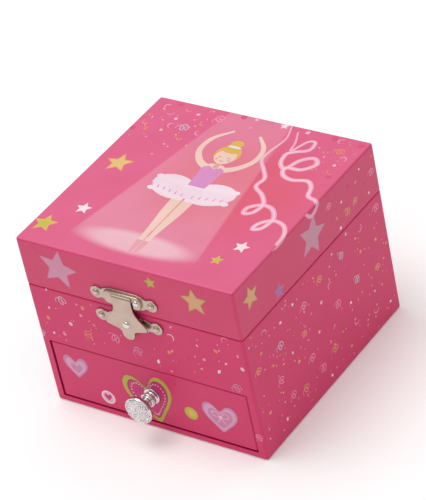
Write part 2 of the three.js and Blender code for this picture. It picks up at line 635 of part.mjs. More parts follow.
// The steel comb: its teeth point up at the drum, and the low notes' teeth are longer.
function addComb() {
  const base = 4.75;
  const toothHalf = 0.3;
  const outline = new THREE.Shape();
  outline.moveTo(DRUM_RIGHT, base);
  for (let tooth = COMB_TEETH - 1; tooth >= 0; tooth -= 1) {
    const x = combToothX(tooth);
    const root = 9 + (3 * tooth) / COMB_TEETH;
    outline.lineTo(x + toothHalf, root);
    outline.lineTo(x + toothHalf, COMB_TIP_Z).lineTo(x - toothHalf, COMB_TIP_Z);
    outline.lineTo(x - toothHalf, root);
  }
  outline.lineTo(DRUM_LEFT, base).closePath();
  for (const x of combScrewPlaces()) roundHole(outline, x, 6.5, 0.9);
  add("comb", "steel", plateAcrossY(outline, [36.75, 37.5]));
}

// The bracket that carries the cylinder's right end, beside the pinion.
function addCylinderBracket() {
  const plate = block([-11.75, -10.5], [34, BEDPLATE_FACE_Y], [21.5, 28.5]);
  const hole = rodAcrossX(CYLINDER_Y, KEY_Z, 0.9 + CLEARANCE, -13, -9);
  add("cylinder_bracket", "castMetal", cut(plate, hole));
}

// The cast frame that carries the cylinder's left end, the governor gear and the worm.
function addGovernorFrame() {
  const inner = block([-34.75, -33.25], [34, BEDPLATE_FACE_Y], [13.75, 28.5]);
  const outer = block([-40, -38.5], [34.5, BEDPLATE_FACE_Y], [4.5, GOVERNOR_Z + 2.5]);
  const floor = block([-40, -33.25], [28.5, BEDPLATE_FACE_Y], [4.5, 5.75]);
  const front = block([-39, -33.5], [27.25, 28.75], [4.5, WORM_Z + 2.5]);
  const holes = [
    rodAcrossX(CYLINDER_Y, KEY_Z, 0.9 + CLEARANCE, -36, -32),
    rodAcrossX(CYLINDER_Y, GOVERNOR_Z, 0.7 + CLEARANCE, -42, -32),
    rodAcrossY(WORM_X, WORM_Z, 0.7 + CLEARANCE, 26, 30),
  ];
  const riser = block([-34.75, -33.25], [44, BEDPLATE_FACE_Y], [4.5, 14.25]);
  add("governor_frame", "castMetal", cut(joined(floor, inner, riser, outer, front), ...holes));
}

function addGovernor() {
  const pinionPhase = Math.PI / 2 + Math.PI / GOVERNOR_PINION_TEETH;
  const pinion = gearAcrossX(
    GOVERNOR_PINION_TEETH, GOVERNOR_PINION_RADIUS, pinionPhase, CYLINDER_Y, GOVERNOR_Z, [-32.75, -30.75],
  );
  const wheel = gearAcrossX(
    GOVERNOR_WHEEL_TEETH, GOVERNOR_WHEEL_RADIUS, -Math.PI / 2, CYLINDER_Y, GOVERNOR_Z,
    [WORM_X - 0.6, WORM_X + 0.6],
  );
  const shaft = rodAcrossX(CYLINDER_Y, GOVERNOR_Z, 0.7, -39.75, -30.25);
  add("governor_gear", "nylon", joined(pinion, wheel, shaft));
}

// The fly arbor: a right-handed worm on a thin shaft, and the air-brake fan on its front end.
function addFly() {
  const shaft = rodAcrossY(WORM_X, WORM_Z, 0.7, 27, 49.75);
  add("fly_arbor", "steel", joined(wormThread(), shaft));

  const bladeX = [WORM_X - FAN_RADIUS, WORM_X + FAN_RADIUS];
  const blade = block(bladeX, [29.4, 31.1], [WORM_Z - 0.4, WORM_Z + 0.4]);
  const hub = rodAcrossY(WORM_X, WORM_Z, 1.7, 29.15, 31.3);
  const bore = rodAcrossY(WORM_X, WORM_Z, 0.7 + CLEARANCE, 29, 32);
  add("fly_fan", "nylon", cut(joined(blade, hub), bore));
}

// A cylinder whose radius rises along a helix: the gap between threads faces the wheel.
function wormThread() {
  const length = 6;
  const depth = 0.75;
  const sides = 14;
  const steps = Math.round((length / WORM_LEAD) * 9);
  const root = WORM_RADIUS - depth / 2 - 0.05;
  const geometry = new THREE.CylinderGeometry(root, root, length, sides, steps);
  const position = geometry.attributes.position;
  for (let i = 0; i < position.count; i += 1) {
    const x = position.getX(i);
    const z = position.getZ(i);
    if (Math.hypot(x, z) < root / 2) continue;
    const turn = Math.atan2(x, z) / (2 * Math.PI);
    const phase = position.getY(i) / WORM_LEAD - turn + 0.5;
    const fromCrest = Math.abs(phase - Math.round(phase));
    const rise = THREE.MathUtils.clamp((0.22 - fromCrest) / 0.14, 0, 1);
    const scale = (root + depth * rise) / root;
    position.setX(i, x * scale);
    position.setZ(i, z * scale);
  }
  return geometry.translate(WORM_X, CYLINDER_Y, WORM_Z);
}

// The wire that the closed lid holds down, with a finger beside the fan.
function addStopPin() {
  const elbow = new THREE.Vector3(STOP_PIN_X, STOP_PIN_Y, WORM_Z);
  const top = new THREE.Vector3(STOP_PIN_X, STOP_PIN_Y, SEAM);
  const finger = new THREE.Vector3(STOP_PIN_X, 30, WORM_Z);
  const knee = new THREE.SphereGeometry(STOP_PIN_RADIUS, 10, 6).translate(elbow.x, elbow.y, elbow.z);
  const upright = rod(STOP_PIN_RADIUS, elbow, top, 10);
  add("stop_pin", "steel", joined(upright, rod(STOP_PIN_RADIUS, elbow, finger, 10), knee));
}

// ---- Dancer: a geared spindle through the shelf, a turntable, a coil spring and a figure ----
function addDancerDrive() {
  const centre = new THREE.Vector3(0, SPINDLE_Y, 0);
  const low = KEY_Z + CROWN_PITCH_RADIUS - 0.9;
  const phase = Math.PI / 2 + Math.PI / DANCER_PINION_TEETH;
  const outline = gearOutline(DANCER_PINION_TEETH, DANCER_PINION_RADIUS, phase);
  const pinion = plateAcrossZ(outline, [low, low + 1.8]).translate(0, SPINDLE_Y, 0);
  const profile = [
    [0, 31.5], [1, 31.5], [1, 39], [2.2, 39], [2.2, 39.5], [1, 39.5], [1, 41], [0, 41],
  ];
  add("dancer_spindle", "steel", joined(pinion, turned(profile, Z, centre, 16)));

  const bush = [
    [1.3, SHELF_BOTTOM], [2.4, SHELF_BOTTOM], [2.4, SHELF_TOP], [4, SHELF_TOP],
    [4, SHELF_TOP + 0.75], [1.3, SHELF_TOP + 0.75], [1.3, SHELF_BOTTOM],
  ];
  add("spindle_bush", "nylon", turned(bush, Z, centre));
  const disc = [[1.3, 39.5], [7.5, 39.5], [7.5, 40.5], [7, 41], [1.3, 41], [1.3, 39.5]];
  add("turntable", "figure", turned(disc, Z, centre, 40));

  const coil = new THREE.Curve();
  coil.getPoint = (share) => {
    const angle = share * 2 * Math.PI * 5;
    const x = 1.8 * Math.cos(angle);
    const y = SPINDLE_Y + 1.8 * Math.sin(angle);
    return new THREE.Vector3(x, y, 41.35 + 4.5 * share);
  };
  add("dancer_spring", "steel", bent(coil, 0.3, 60, 6));
}

function addDancer() {
  const centre = new THREE.Vector3(0, SPINDLE_Y, 0);
  const at = (x, y, z) => new THREE.Vector3(x, SPINDLE_Y + y, z);
  const footAndLeg = [
    [0, 46.25], [2.2, 46.25], [2.2, 47], [0.7, 47.4], [1.2, 53], [1.5, 59], [0, 59],
  ];
  const foot = turned(footAndLeg, Z, centre, 12);
  const skirt = [[0, 57.4], [3, 57.4], [10.5, 58.4], [10.5, 59.2], [3, 60.8], [0, 60.8]];
  const tutu = turned(skirt, Z, centre, 24);
  const body = [
    [0, 59.5], [2.2, 59.5], [1.6, 62.5], [2.5, 66], [2.4, 67.6], [1, 68.8], [0.9, 70.5], [0, 70.5],
  ];
  const torso = turned(body, Z, centre, 14);
  const head = new THREE.SphereGeometry(2.7, 12, 8).translate(0, SPINDLE_Y, 72);
  const bun = new THREE.SphereGeometry(1.3, 8, 6).translate(0, SPINDLE_Y + 1.6, 74.4);
  const arms = [-1, 1].map((sign) => {
    const curve = new THREE.QuadraticBezierCurve3(
      at(sign * 2, 0, 67), at(sign * 8, -1, 71), at(sign * 1, -0.5, 77.5),
    );
    return bent(curve, 0.6, 8, 6);
  });
  const bentLeg = new THREE.QuadraticBezierCurve3(
    at(0.8, 0, 58), at(8, -2, 53.5), at(1, -0.6, 50.5),
  );
  const leg = bent(bentLeg, 0.9, 8, 6);
  add("dancer", "figure", joined(foot, tutu, torso, head, bun, ...arms, leg));
}

addCase();
addTray();
addDrawer();
addLid();
addLatchPlate();
addHasp();
addCatchPlate();
addLatchNails();
addHinge("left", -HINGE_X);
addHinge("right", HINGE_X);
addBedplate();
addSpringBarrel();
addMainspring();
addWinder();
addCylinder();
addComb();
addCylinderBracket();
addGovernorFrame();
addGovernor();
addFly();
addStopPin();
addDancerDrive();
addDancer();

export default musicBox;
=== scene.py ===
"""A wind-up music box: printed board case and lid, latch, drawer, tray, movement and dancer.

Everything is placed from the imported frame. Outlines are in millimetres and are scaled by MM.
"""

import math
import random

import bmesh
import bpy
import numpy as np
from mathutils import Matrix, Vector
from mathutils.geometry import delaunay_2d_cdt


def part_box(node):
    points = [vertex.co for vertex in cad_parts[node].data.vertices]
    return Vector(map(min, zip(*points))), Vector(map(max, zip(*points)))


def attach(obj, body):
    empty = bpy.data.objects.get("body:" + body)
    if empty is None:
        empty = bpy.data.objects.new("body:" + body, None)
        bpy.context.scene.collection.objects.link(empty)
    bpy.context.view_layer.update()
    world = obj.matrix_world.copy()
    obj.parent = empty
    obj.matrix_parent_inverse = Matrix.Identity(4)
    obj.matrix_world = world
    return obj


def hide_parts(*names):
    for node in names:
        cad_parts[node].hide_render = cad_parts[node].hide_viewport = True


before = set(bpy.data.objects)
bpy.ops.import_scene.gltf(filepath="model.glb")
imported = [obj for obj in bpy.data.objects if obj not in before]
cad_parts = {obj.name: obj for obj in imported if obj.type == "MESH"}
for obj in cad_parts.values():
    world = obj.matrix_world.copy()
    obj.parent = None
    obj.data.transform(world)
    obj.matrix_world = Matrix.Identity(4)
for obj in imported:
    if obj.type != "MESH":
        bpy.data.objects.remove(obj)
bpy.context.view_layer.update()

MM = 0.001
TAU = 2 * math.pi
X = Vector((1, 0, 0))
Y = Vector((0, 1, 0))
Z = Vector((0, 0, 1))


# ---------------------------------------------------------------- sizes taken from the frame
def low(node):
    """Lowest corner of a CAD node, in millimetres."""
    return Vector(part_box(node)[0]) / MM


def high(node):
    """Highest corner of a CAD node, in millimetres."""
    return Vector(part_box(node)[1]) / MM


def middle(node):
    return (low(node) + high(node)) / 2


LEFT = low("base_board").x
FRONT = low("base_board").y
RIGHT = high("base_board").x
BACK = high("base_board").y
WIDTH = RIGHT - LEFT
SEAM = high("left_wall").z
LID_BOTTOM = low("lid_left").z
LID_CEILING = high("lid_left").z
HEIGHT = high("lid_top").z
INNER = low("right_wall").x
LID_INNER = low("lid_right").x
BASE_TOP = high("base_board").z
MOUTH_TOP = low("front_panel").z
SHELF_BOTTOM = low("shelf_board").z
SHELF_TOP = high("shelf_board").z
PARTITION = low("bay_partition").y
PARTITION_BACK = high("bay_partition").y
KEY_Z = middle("winding_arbor").z
LATCH_X = middle("hasp").x
LATCH_PLATE_Z = middle("latch_plate").z
CATCH_PLATE_Z = middle("catch_plate").z
SPINDLE_Y = middle("turntable").y


# ---------------------------------------------------------------- camera, light and floor
def set_camera():
    """A long lens above the front right corner, tilted as a hand-held product shot is."""
    camera = bpy.data.objects.new("camera", bpy.data.cameras.new("camera"))
    bpy.context.collection.objects.link(camera)
    right = Vector((0.82083, 0.54347, -0.17569))
    up = Vector((-0.20873, 0.57175, 0.79343))
    turn = Matrix((right, up, right.cross(up))).transposed().to_4x4()
    camera.matrix_world = Matrix.Translation((0.6154, -0.7081, 0.7283)) @ turn
    camera.data.lens = 195.2
    camera.data.sensor_width = 36
    camera.data.clip_start = 0.01
    bpy.context.scene.camera = camera


def add_area_light(name, place, size, power):
    light = bpy.data.objects.new(name, bpy.data.lights.new(name, "AREA"))
    light.data.shape = "DISK"
    light.data.size = size
    light.data.energy = power
    light.location = place
    aim = Vector((0, 0, 0.05)) - Vector(place)
    light.rotation_euler = aim.to_track_quat("-Z", "Y").to_euler()
    bpy.context.collection.objects.link(light)


def set_studio():
    scene = bpy.context.scene
    scene.view_settings.view_transform = "Standard"
    scene.world = bpy.data.worlds.new("studio")
    scene.world.use_nodes = True
    tree = scene.world.node_tree
    direction = tree.nodes.new("ShaderNodeSeparateXYZ")
    tree.links.new(tree.nodes.new("ShaderNodeTexCoord").outputs["Generated"], direction.inputs["Vector"])
    brightness = tree.nodes.new("ShaderNodeMapRange")
    brightness.inputs["To Min"].default_value = 0.2
    brightness.inputs["To Max"].default_value = 0.95
    tree.links.new(direction.outputs["Z"], brightness.inputs["Value"])
    tree.links.new(brightness.outputs["Result"], tree.nodes["Background"].inputs["Strength"])
    tree.nodes["Background"].inputs["Color"].default_value = (1.0, 0.99, 0.98, 1)
    add_area_light("key_light", (-0.3, -0.15, 1.2), 0.8, 5.8)

    mesh = bpy.data.meshes.new("floor")
    reach = 3.0
    corners = [(-reach, -reach, 0), (reach, -reach, 0), (reach, reach, 0), (-reach, reach, 0)]
    mesh.from_pydata(corners, [], [(0, 1, 2, 3)])
    floor = bpy.data.objects.new("floor", mesh)
    floor.location.z = -0.0002
    bpy.context.collection.objects.link(floor)
    mesh.materials.append(plain("floor_paper", "FAFAFA", roughness=0.85, glow=0.1))


# ---------------------------------------------------------------- material recipes
def srgb(code):
    """A linear colour from a hexadecimal sRGB code."""
    channels = [int(code[i : i + 2], 16) / 255 for i in (0, 2, 4)]
    return tuple(c / 12.92 if c <= 0.04045 else ((c + 0.055) / 1.055) ** 2.4 for c in channels) + (1,)


def shaded(colour, factor):
    return tuple(min(channel * factor, 1) for channel in colour[:3]) + (1,)


class Recipe:
    """A material under construction, with short calls for the nodes that the recipes share."""

    def __init__(self, name, **sockets):
        self.material = bpy.data.materials.new(name)
        self.material.use_nodes = True
        self.tree = self.material.node_tree
        self.shader = self.tree.nodes["Principled BSDF"]
        for key, value in sockets.items():
            self.shader.inputs[key.replace("_", " ")].default_value = value

    def node(self, kind, settings=(), **inputs):
        made = self.tree.nodes.new("ShaderNode" + kind)
        for key, value in dict(settings).items():
            setattr(made, key, value)
        for key, value in inputs.items():
            self.feed(made.inputs[key.replace("_", " ")], value)
        return made

    def feed(self, socket, value):
        if isinstance(value, bpy.types.NodeSocket):
            self.tree.links.new(value, socket)
        else:
            socket.default_value = value

    def place(self):
        """Object coordinates, in metres."""
        return self.node("TexCoord").outputs["Object"]

    def noise(self, scale, detail=2.0, stretch=None):
        """Noise from 0 to 1 with about this many features per metre."""
        vector = self.place()
        if stretch:
            mapping = self.node("Mapping", Vector=vector, Scale=stretch)
            vector = mapping.outputs["Vector"]
        return self.node("TexNoise", Vector=vector, Scale=scale, Detail=detail).outputs["Fac"]

    def ramp(self, value, start, end, low_value=0.0, high_value=1.0, smooth=False):
        """Maps a value from start..end to low_value..high_value."""
        kind = "SMOOTHSTEP" if smooth else "LINEAR"
        ranged = self.node("MapRange", {"interpolation_type": kind}, Value=value)
        limits = {"From Min": start, "From Max": end, "To Min": low_value, "To Max": high_value}
        for key, number in limits.items():
            ranged.inputs[key].default_value = number
        return ranged.outputs["Result"]

    def calc(self, operation, first, second):
        """A Math node with two operands."""
        made = self.node("Math", {"operation": operation})
        self.feed(made.inputs[0], first)
        self.feed(made.inputs[1], second)
        return made.outputs[0]

    def mix(self, factor, first, second):
        made = self.node("Mix", {"data_type": "RGBA"})
        self.feed(made.inputs[0], factor)
        self.feed(made.inputs[6], first)
        self.feed(made.inputs[7], second)
        return made.outputs[2]

    def use(self, socket, value):
        self.feed(self.shader.inputs[socket], value)

    def bump(self, height, strength, distance):
        made = self.node("Bump", Height=height, Strength=strength, Distance=distance)
        self.use("Normal", made.outputs["Normal"])


def plain(name, code, roughness, glow=0.0):
    recipe = Recipe(name, Base_Color=srgb(code), Roughness=roughness, Emission_Strength=glow)
    grain = recipe.noise(900)
    recipe.bump(grain, 0.05, 0.0002)
    return recipe.material


def finish_paper(recipe, colour):
    """Laminated print: slow drifts of tone, a fine paper grain and a clear film on top."""
    drift = recipe.noise(55)
    grain = recipe.noise(2400, detail=3)
    tone = recipe.ramp(drift, 0.3, 0.7, 0.0, 0.10)
    recipe.use("Base Color", recipe.mix(tone, colour, (0.5, 0.012, 0.08, 1)))
    recipe.use("Roughness", recipe.ramp(grain, 0.3, 0.7, 0.36, 0.5))
    recipe.bump(grain, 0.10, 0.00006)
    return recipe.material


def paper(name, code):
    recipe = Recipe(name, Coat_Weight=0.1, Coat_Roughness=0.30, Specular_IOR_Level=0.3)
    return finish_paper(recipe, srgb(code))


def lid_paper(name, top_code, side_code):
    """The lid's ground colour, with a stage light's soft cone, its pool and a coral glow."""
    recipe = Recipe(name, Coat_Weight=0.1, Coat_Roughness=0.30, Specular_IOR_Level=0.3)
    place = recipe.node("SeparateXYZ", Vector=recipe.place())
    across = recipe.calc("SUBTRACT", place.outputs["X"], LEFT * MM)
    along = recipe.calc("SUBTRACT", place.outputs["Y"], FRONT * MM)
    on_top = recipe.ramp(place.outputs["Z"], (HEIGHT - 0.6) * MM, (HEIGHT - 0.1) * MM)

    def soft(value, start, end):
        return recipe.ramp(value, start * MM, end * MM, smooth=True)

    def ellipse(centre_u, centre_v, radius_u, radius_v):
        u = recipe.calc("DIVIDE", recipe.calc("SUBTRACT", across, centre_u * MM), radius_u * MM)
        v = recipe.calc("DIVIDE", recipe.calc("SUBTRACT", along, centre_v * MM), radius_v * MM)
        squares = recipe.calc("ADD", recipe.calc("MULTIPLY", u, u), recipe.calc("MULTIPLY", v, v))
        return recipe.calc("SQRT", squares, 0.0)

    glow = recipe.ramp(ellipse(74, 62, 50, 46), 0.25, 1.0, 0.75, 0.0, smooth=True)
    ground = recipe.mix(glow, srgb(top_code), srgb("DF5A70"))

    blush = recipe.ramp(ellipse(55, 58, 27, 36), 0.2, 1.0, 0.65, 0.0, smooth=True)
    ground = recipe.mix(blush, ground, srgb("DD5068"))

    # The cone's sides run from the lid's back edge down to the two ends of the pool.
    left_side = recipe.calc("ADD", recipe.calc("MULTIPLY", along, 17 / 95), 18.3 * MM)
    right_side = recipe.calc("ADD", recipe.calc("MULTIPLY", along, -14 / 95), 86.2 * MM)
    past_left = soft(recipe.calc("SUBTRACT", across, left_side), -0.6, 1.2)
    before_right = soft(recipe.calc("SUBTRACT", right_side, across), -0.6, 1.2)
    above_pool = soft(along, 8, 22)
    inside = recipe.calc("MULTIPLY", recipe.calc("MULTIPLY", past_left, before_right), above_pool)
    haze = recipe.ramp(along, 0.015, 0.11, 0.24, 0.15)
    lit = recipe.mix(recipe.calc("MULTIPLY", inside, haze), ground, srgb("F2D2DC"))
    pool = recipe.ramp(ellipse(52.5, 14.5, 32.5, 8), 0.55, 1.05, 0.62, 0.0, smooth=True)
    lit = recipe.mix(pool, lit, srgb("F3D3DB"))
    return finish_paper(recipe, recipe.mix(on_top, srgb(side_code), lit))


def flock(name, code):
    """Short velvet pile on card, as drawers and trays are lined with."""
    recipe = Recipe(name, Roughness=0.95, Sheen_Weight=0.7, Sheen_Roughness=0.4)
    pile = recipe.noise(5200, detail=3)
    drift = recipe.noise(90)
    dark = recipe.mix(recipe.ramp(drift, 0.35, 0.65), shaded(srgb(code), 0.8), srgb(code))
    recipe.use("Base Color", recipe.mix(recipe.ramp(pile, 0.3, 0.75), dark, shaded(srgb(code), 1.25)))
    recipe.bump(pile, 0.5, 0.00025)
    return recipe.material


def satin(name, code):
    """Woven satin: fine threads one way, with a soft sheen; its colour has painted highlights along the
    threads and painted shade in streaks where folds would fall.
    """
    recipe = Recipe(name, Roughness=0.42, Sheen_Weight=0.35, Sheen_Roughness=0.3, Anisotropic=0.5)
    threads = recipe.node("TexWave", {"bands_direction": "Y"}, Vector=recipe.place(), Scale=1500.0)
    # Darker streaks: painted shade where folds would fall.
    fold_shade = recipe.noise(160, stretch=(1, 0.3, 1))
    colour = recipe.mix(recipe.ramp(fold_shade, 0.3, 0.7), shaded(srgb(code), 0.86), srgb(code))
    # Lighter stripes along the threads: painted highlight.
    thread_highlight = recipe.ramp(threads.outputs["Fac"], 0, 1, 0, 0.18)
    recipe.use("Base Color", recipe.mix(thread_highlight, colour, (1, 0.8, 0.86, 1)))
    recipe.bump(threads.outputs["Fac"], 0.25, 0.00008)
    return recipe.material


def metal(name, code, roughness, brushed=None, spots=0.0):
    """Plated or bare metal: fine scratches, handling marks and a slow change of tone."""
    recipe = Recipe(name, Metallic=1.0)
    scratches = recipe.noise(1400, detail=4, stretch=brushed or (1, 1, 1))
    smears = recipe.noise(180)
    tone = recipe.ramp(smears, 0.3, 0.75, 0.0, 0.35 + spots)
    recipe.use("Base Color", recipe.mix(tone, srgb(code), shaded(srgb(code), 0.72)))
    recipe.use("Roughness", recipe.ramp(smears, 0.3, 0.7, roughness * 0.8, roughness * 1.3))
    recipe.bump(scratches, 0.06, 0.00005)
    return recipe.material


def moulded(name, code, roughness=0.35, glow=0.0):
    """Moulded or painted plastic with a faint orange-peel surface."""
    recipe = Recipe(name, Subsurface_Weight=glow, Subsurface_Radius=(0.001, 0.0006, 0.0004))
    peel = recipe.noise(700)
    recipe.use("Base Color", recipe.mix(recipe.ramp(peel, 0.3, 0.7), srgb(code), shaded(srgb(code), 0.92)))
    recipe.use("Roughness", recipe.ramp(peel, 0.3, 0.7, roughness * 0.85, roughness * 1.15))
    recipe.bump(peel, 0.05, 0.0001)
    return recipe.material


def tulle(name, code):
    """Fine stiff net, drawn as a mesh of threads over a translucent ground."""
    recipe = Recipe(name, Roughness=0.7, Sheen_Weight=0.5, Transmission_Weight=0.15)
    cells = recipe.node("TexVoronoi", {"feature": "DISTANCE_TO_EDGE"}, Vector=recipe.place(), Scale=2600.0)
    thread = recipe.ramp(cells.outputs["Distance"], 0.05, 0.16, 1.0, 0.0)
    recipe.use("Base Color", recipe.mix(thread, srgb(code), srgb("FFF8FB")))
    recipe.bump(thread, 0.12, 0.00005)
    return recipe.material


def glitter(name, code):
    """Foil flakes set in clear plastic: each cell tilts its own way."""
    recipe = Recipe(name, Metallic=0.85, Roughness=0.16, Coat_Weight=1.0, Coat_Roughness=0.04)
    flakes = recipe.node("TexVoronoi", Vector=recipe.place(), Scale=1500.0)
    tint = recipe.node("SeparateColor", Color=flakes.outputs["Color"])
    recipe.use("Base Color", recipe.mix(tint.outputs["Red"], srgb(code), srgb("FFFFFF")))
    recipe.bump(tint.outputs["Green"], 0.7, 0.0003)
    return recipe.material


def silvered(name):
    recipe = Recipe(name, Metallic=1.0, Roughness=0.02)
    haze = recipe.noise(40)
    recipe.use("Base Color", recipe.mix(recipe.ramp(haze, 0.3, 0.7), srgb("E9EEF0"), srgb("DDE4E8")))
    return recipe.material


# Printed inks: the name of each colour on the paper, and the colour.
INK_CODES = {
    "ground": "D9336B",
    "lilac_star": "D694B0",
    "lilac_halo": "D66F98",
    "grey_star": "CC93A6",
    "lime_halo": "CF6B63",
    "tan_halo": "E58579",
    "tan_star": "DDA97C",
    "lime": "C9C043",
    "lime_dull": "BDB547",
    "yellow": "E2C178",
    "white": "F1DFE6",
    "rose_white": "EFB9CA",
    "streamer": "F0A9C2",
    "streamer_light": "F6CBD9",
    "orange": "E58A5E",
    "amber": "DDA45C",
    "pale_pink": "EE94B2",
    "lilac_curl": "D48BB4",
    "blue_white": "C9BFD6",
    "violet": "A378B4",
    "dark_rose": "CB3663",
    "dull_red": "DA4F78",
    "heart_lilac": "CF87AE",
    "heart_pale": "DDA6C4",
    "magenta": "D2307A",
    "magenta_edge": "B01C5E",
    "green_heart": "BAB63E",
    "skin": "EFCDBF",
    "skin_shade": "DFA898",
    "shoe": "E3A3AC",
    "bodice": "D78FC4",
    "tutu": "F0D9E6",
    "tutu_shade": "D7A3C8",
    "hair": "DDB750",
    "brown": "A2705E",
    # lining: a darker copy of the ground for the insides of bays and holes, painted shade where those
    # insides lie in shadow.
    "lining": "BE1650",
}


def make_inks():
    inks = {name: paper("paper_" + name, code) for name, code in INK_CODES.items()}
    inks["lid"] = lid_paper("paper_lid", "DE628B", "D9406F")
    return inks


# ---------------------------------------------------------------- flat outlines, in millimetres
def star(centre, radius, turn=0.0, inner=0.47):
    points = []
    for tip in range(10):
        reach = radius if tip % 2 == 0 else radius * inner
        angle = math.radians(90 + turn) + tip * TAU / 10
        points.append((centre[0] + reach * math.cos(angle), centre[1] + reach * math.sin(angle)))
    return points


def ellipse(centre, radius_u, radius_v=None, turn=0.0, sides=20):
    radius_v = radius_v or radius_u
    cos = math.cos(math.radians(turn))
    sin = math.sin(math.radians(turn))
    points = []
    for step in range(sides):
        u = radius_u * math.cos(step * TAU / sides)
        v = radius_v * math.sin(step * TAU / sides)
        points.append((centre[0] + u * cos - v * sin, centre[1] + u * sin + v * cos))
    return points


def heart(centre, width, height, turn=0.0, sides=36):
    cos = math.cos(math.radians(turn))
    sin = math.sin(math.radians(turn))
    points = []
    for step in range(sides):
        t = step * TAU / sides
        u = width / 2 * math.sin(t) * (0.4 + 0.6 * math.sin(t) ** 2)
        lobes = 13 * math.cos(t) - 5 * math.cos(2 * t) - 2 * math.cos(3 * t) - math.cos(4 * t)
        v = height / 29 * (lobes + 2.5)
        points.append((centre[0] + u * cos - v * sin, centre[1] + u * sin + v * cos))
    return points


def smooth_line(knots, steps=6):
    """A Catmull-Rom curve through the knots, of any dimension."""
    knots = [Vector(knot) for knot in knots]
    padded = [2 * knots[0] - knots[1], *knots, 2 * knots[-1] - knots[-2]]
    points = []
    for a, b, c, d in zip(padded, padded[1:], padded[2:], padded[3:]):
        for step in range(steps):
            t = step / steps
            squared = (2 * a - 5 * b + 4 * c - d) * t**2
            cubed = (3 * b - a - 3 * c + d) * t**3
            points.append(0.5 * (2 * b + (c - a) * t + squared + cubed))
    points.append(knots[-1])
    return points


def stroke(points, widths, colour):
    """A printed line built of triangles; its widths are spread from its start to its end."""
    points = [Vector(point) for point in points]
    rails = []
    for index, point in enumerate(points):
        before = points[max(index - 1, 0)]
        after = points[min(index + 1, len(points) - 1)]
        side = (after - before).normalized().orthogonal()
        share = index / (len(points) - 1) * (len(widths) - 1)
        cell = min(int(share), len(widths) - 2)
        width = widths[cell] + (widths[cell + 1] - widths[cell]) * (share - cell)
        rails.append((point + side * width / 2, point - side * width / 2))
    shapes = []
    for (a, b), (c, d) in zip(rails, rails[1:]):
        shapes += [([a, c, d], colour), ([a, d, b], colour)]
    return shapes


def curl(centre, size, turn, colour, width=0.42):
    """A paper-streamer curl: two small loops drawn in one thin stroke."""
    along = Vector((math.cos(math.radians(turn)), math.sin(math.radians(turn))))
    across = Vector((-along.y, along.x))
    points = []
    for step in range(23):
        share = step / 22
        angle = share * TAU * 2.1
        slide = (share - 0.5) * 1.7
        u = slide - 0.52 * math.cos(angle)
        v = 0.8 * math.sin(angle)
        points.append(Vector(centre) + (along * u + across * v) * size)
    return stroke(points, [width * 0.5, width, width, width * 0.6], colour)


def hook(centre, size, turn, colour, width=0.45):
    """An open arc, a streamer curl that is nearly straight."""
    points = []
    for step in range(9):
        angle = math.radians(turn) + step / 8 * TAU * 0.55
        points.append(Vector(centre) + Vector((math.cos(angle), math.sin(angle))) * size)
    return stroke(points, [width * 0.4, width, width * 0.5], colour)


def dots(places, colour, radius=0.75, seed=1):
    """Confetti dots, each a slightly different oval."""
    draw = random.Random(seed)
    shapes = []
    for u, v in places:
        size = radius * draw.uniform(0.8, 1.25)
        outline = ellipse((u, v), size, size * draw.uniform(0.65, 0.95), draw.uniform(0, 180), 9)
        shapes.append((outline, colour))
    return shapes


def curls(places, colour, size=1.9, seed=1):
    draw = random.Random(seed)
    shapes = []
    for u, v in places:
        shapes += curl((u, v), size * draw.uniform(0.85, 1.15), draw.uniform(-35, 60), colour)
    return shapes


def hooks(places, colour, size=1.4, seed=1):
    draw = random.Random(seed)
    shapes = []
    for u, v in places:
        shapes += hook((u, v), size * draw.uniform(0.85, 1.2), draw.uniform(0, 360), colour)
    return shapes


def sprinkled(left, right, bottom, top, count, seed):
    """Tiny flecks between the bigger confetti, in five colours."""
    draw = random.Random(seed)
    shapes = []
    for number in range(count):
        place = (draw.uniform(left + 3, right - 3), draw.uniform(bottom + 2, top - 2))
        colour = ("amber", "rose_white", "orange", "pale_pink", "yellow")[number % 5]
        size = draw.uniform(0.35, 0.7)
        turn = draw.uniform(0, 180)
        outline = ellipse(place, size, size * draw.uniform(0.4, 0.8), turn, draw.choice((4, 7)))
        shapes.append((outline, colour))
    return shapes


def scattered(width, bottom, top, count, seed):
    """Seeded confetti for the faces that are alike all over."""
    draw = random.Random(seed)
    places = []
    while len(places) < count:
        place = Vector((draw.uniform(3, width - 3), draw.uniform(bottom + 2, top - 2)))
        if all((place - other).length > 5 for other in places):
            places.append(place)
    kinds = [(dots, colour) for colour in ("pale_pink", "amber", "orange", "rose_white", "dark_rose")]
    kinds += [(curls, colour) for colour in ("pale_pink", "lilac_curl", "blue_white")]
    kinds += [(hooks, colour) for colour in ("amber", "orange")]
    shapes = []
    for index, place in enumerate(places):
        make, colour = kinds[(index * 7) % len(kinds)]
        shapes += make([place], colour, seed=seed + index)
    return shapes


# ---------------------------------------------------------------- card skins that carry the print
class Skin:
    """A mesh under construction, welded where its pieces meet, with its facings kept."""

    def __init__(self):
        self.points, self.index = [], {}
        self.faces, self.facings, self.colours = [], [], []

    def corner(self, position):
        key = tuple(round(value, 3) for value in position)
        if key not in self.index:
            self.index[key] = len(self.points)
            self.points.append(position * MM)
        return self.index[key]

    def add(self, corners, facings, colour):
        """One face: its corners in millimetres, the way it faces at each, and its colour's name."""
        numbers = [self.corner(position) for position in corners]
        if len(set(numbers)) < len(numbers):
            return
        self.faces.append(numbers)
        self.facings.extend(facings)
        self.colours.append(colour)

    def build(self, name, materials):
        mesh = bpy.data.meshes.new(name)
        mesh.from_pydata(self.points, [], self.faces)
        used = sorted(set(self.colours))
        for colour in used:
            mesh.materials.append(materials[colour])
        mesh.polygons.foreach_set("material_index", [used.index(colour) for colour in self.colours])
        mesh.polygons.foreach_set("use_smooth", [True] * len(self.faces))
        mesh.normals_split_custom_set([tuple(facing) for facing in self.facings])
        made = bpy.data.objects.new(name, mesh)
        bpy.context.collection.objects.link(made)
        return made


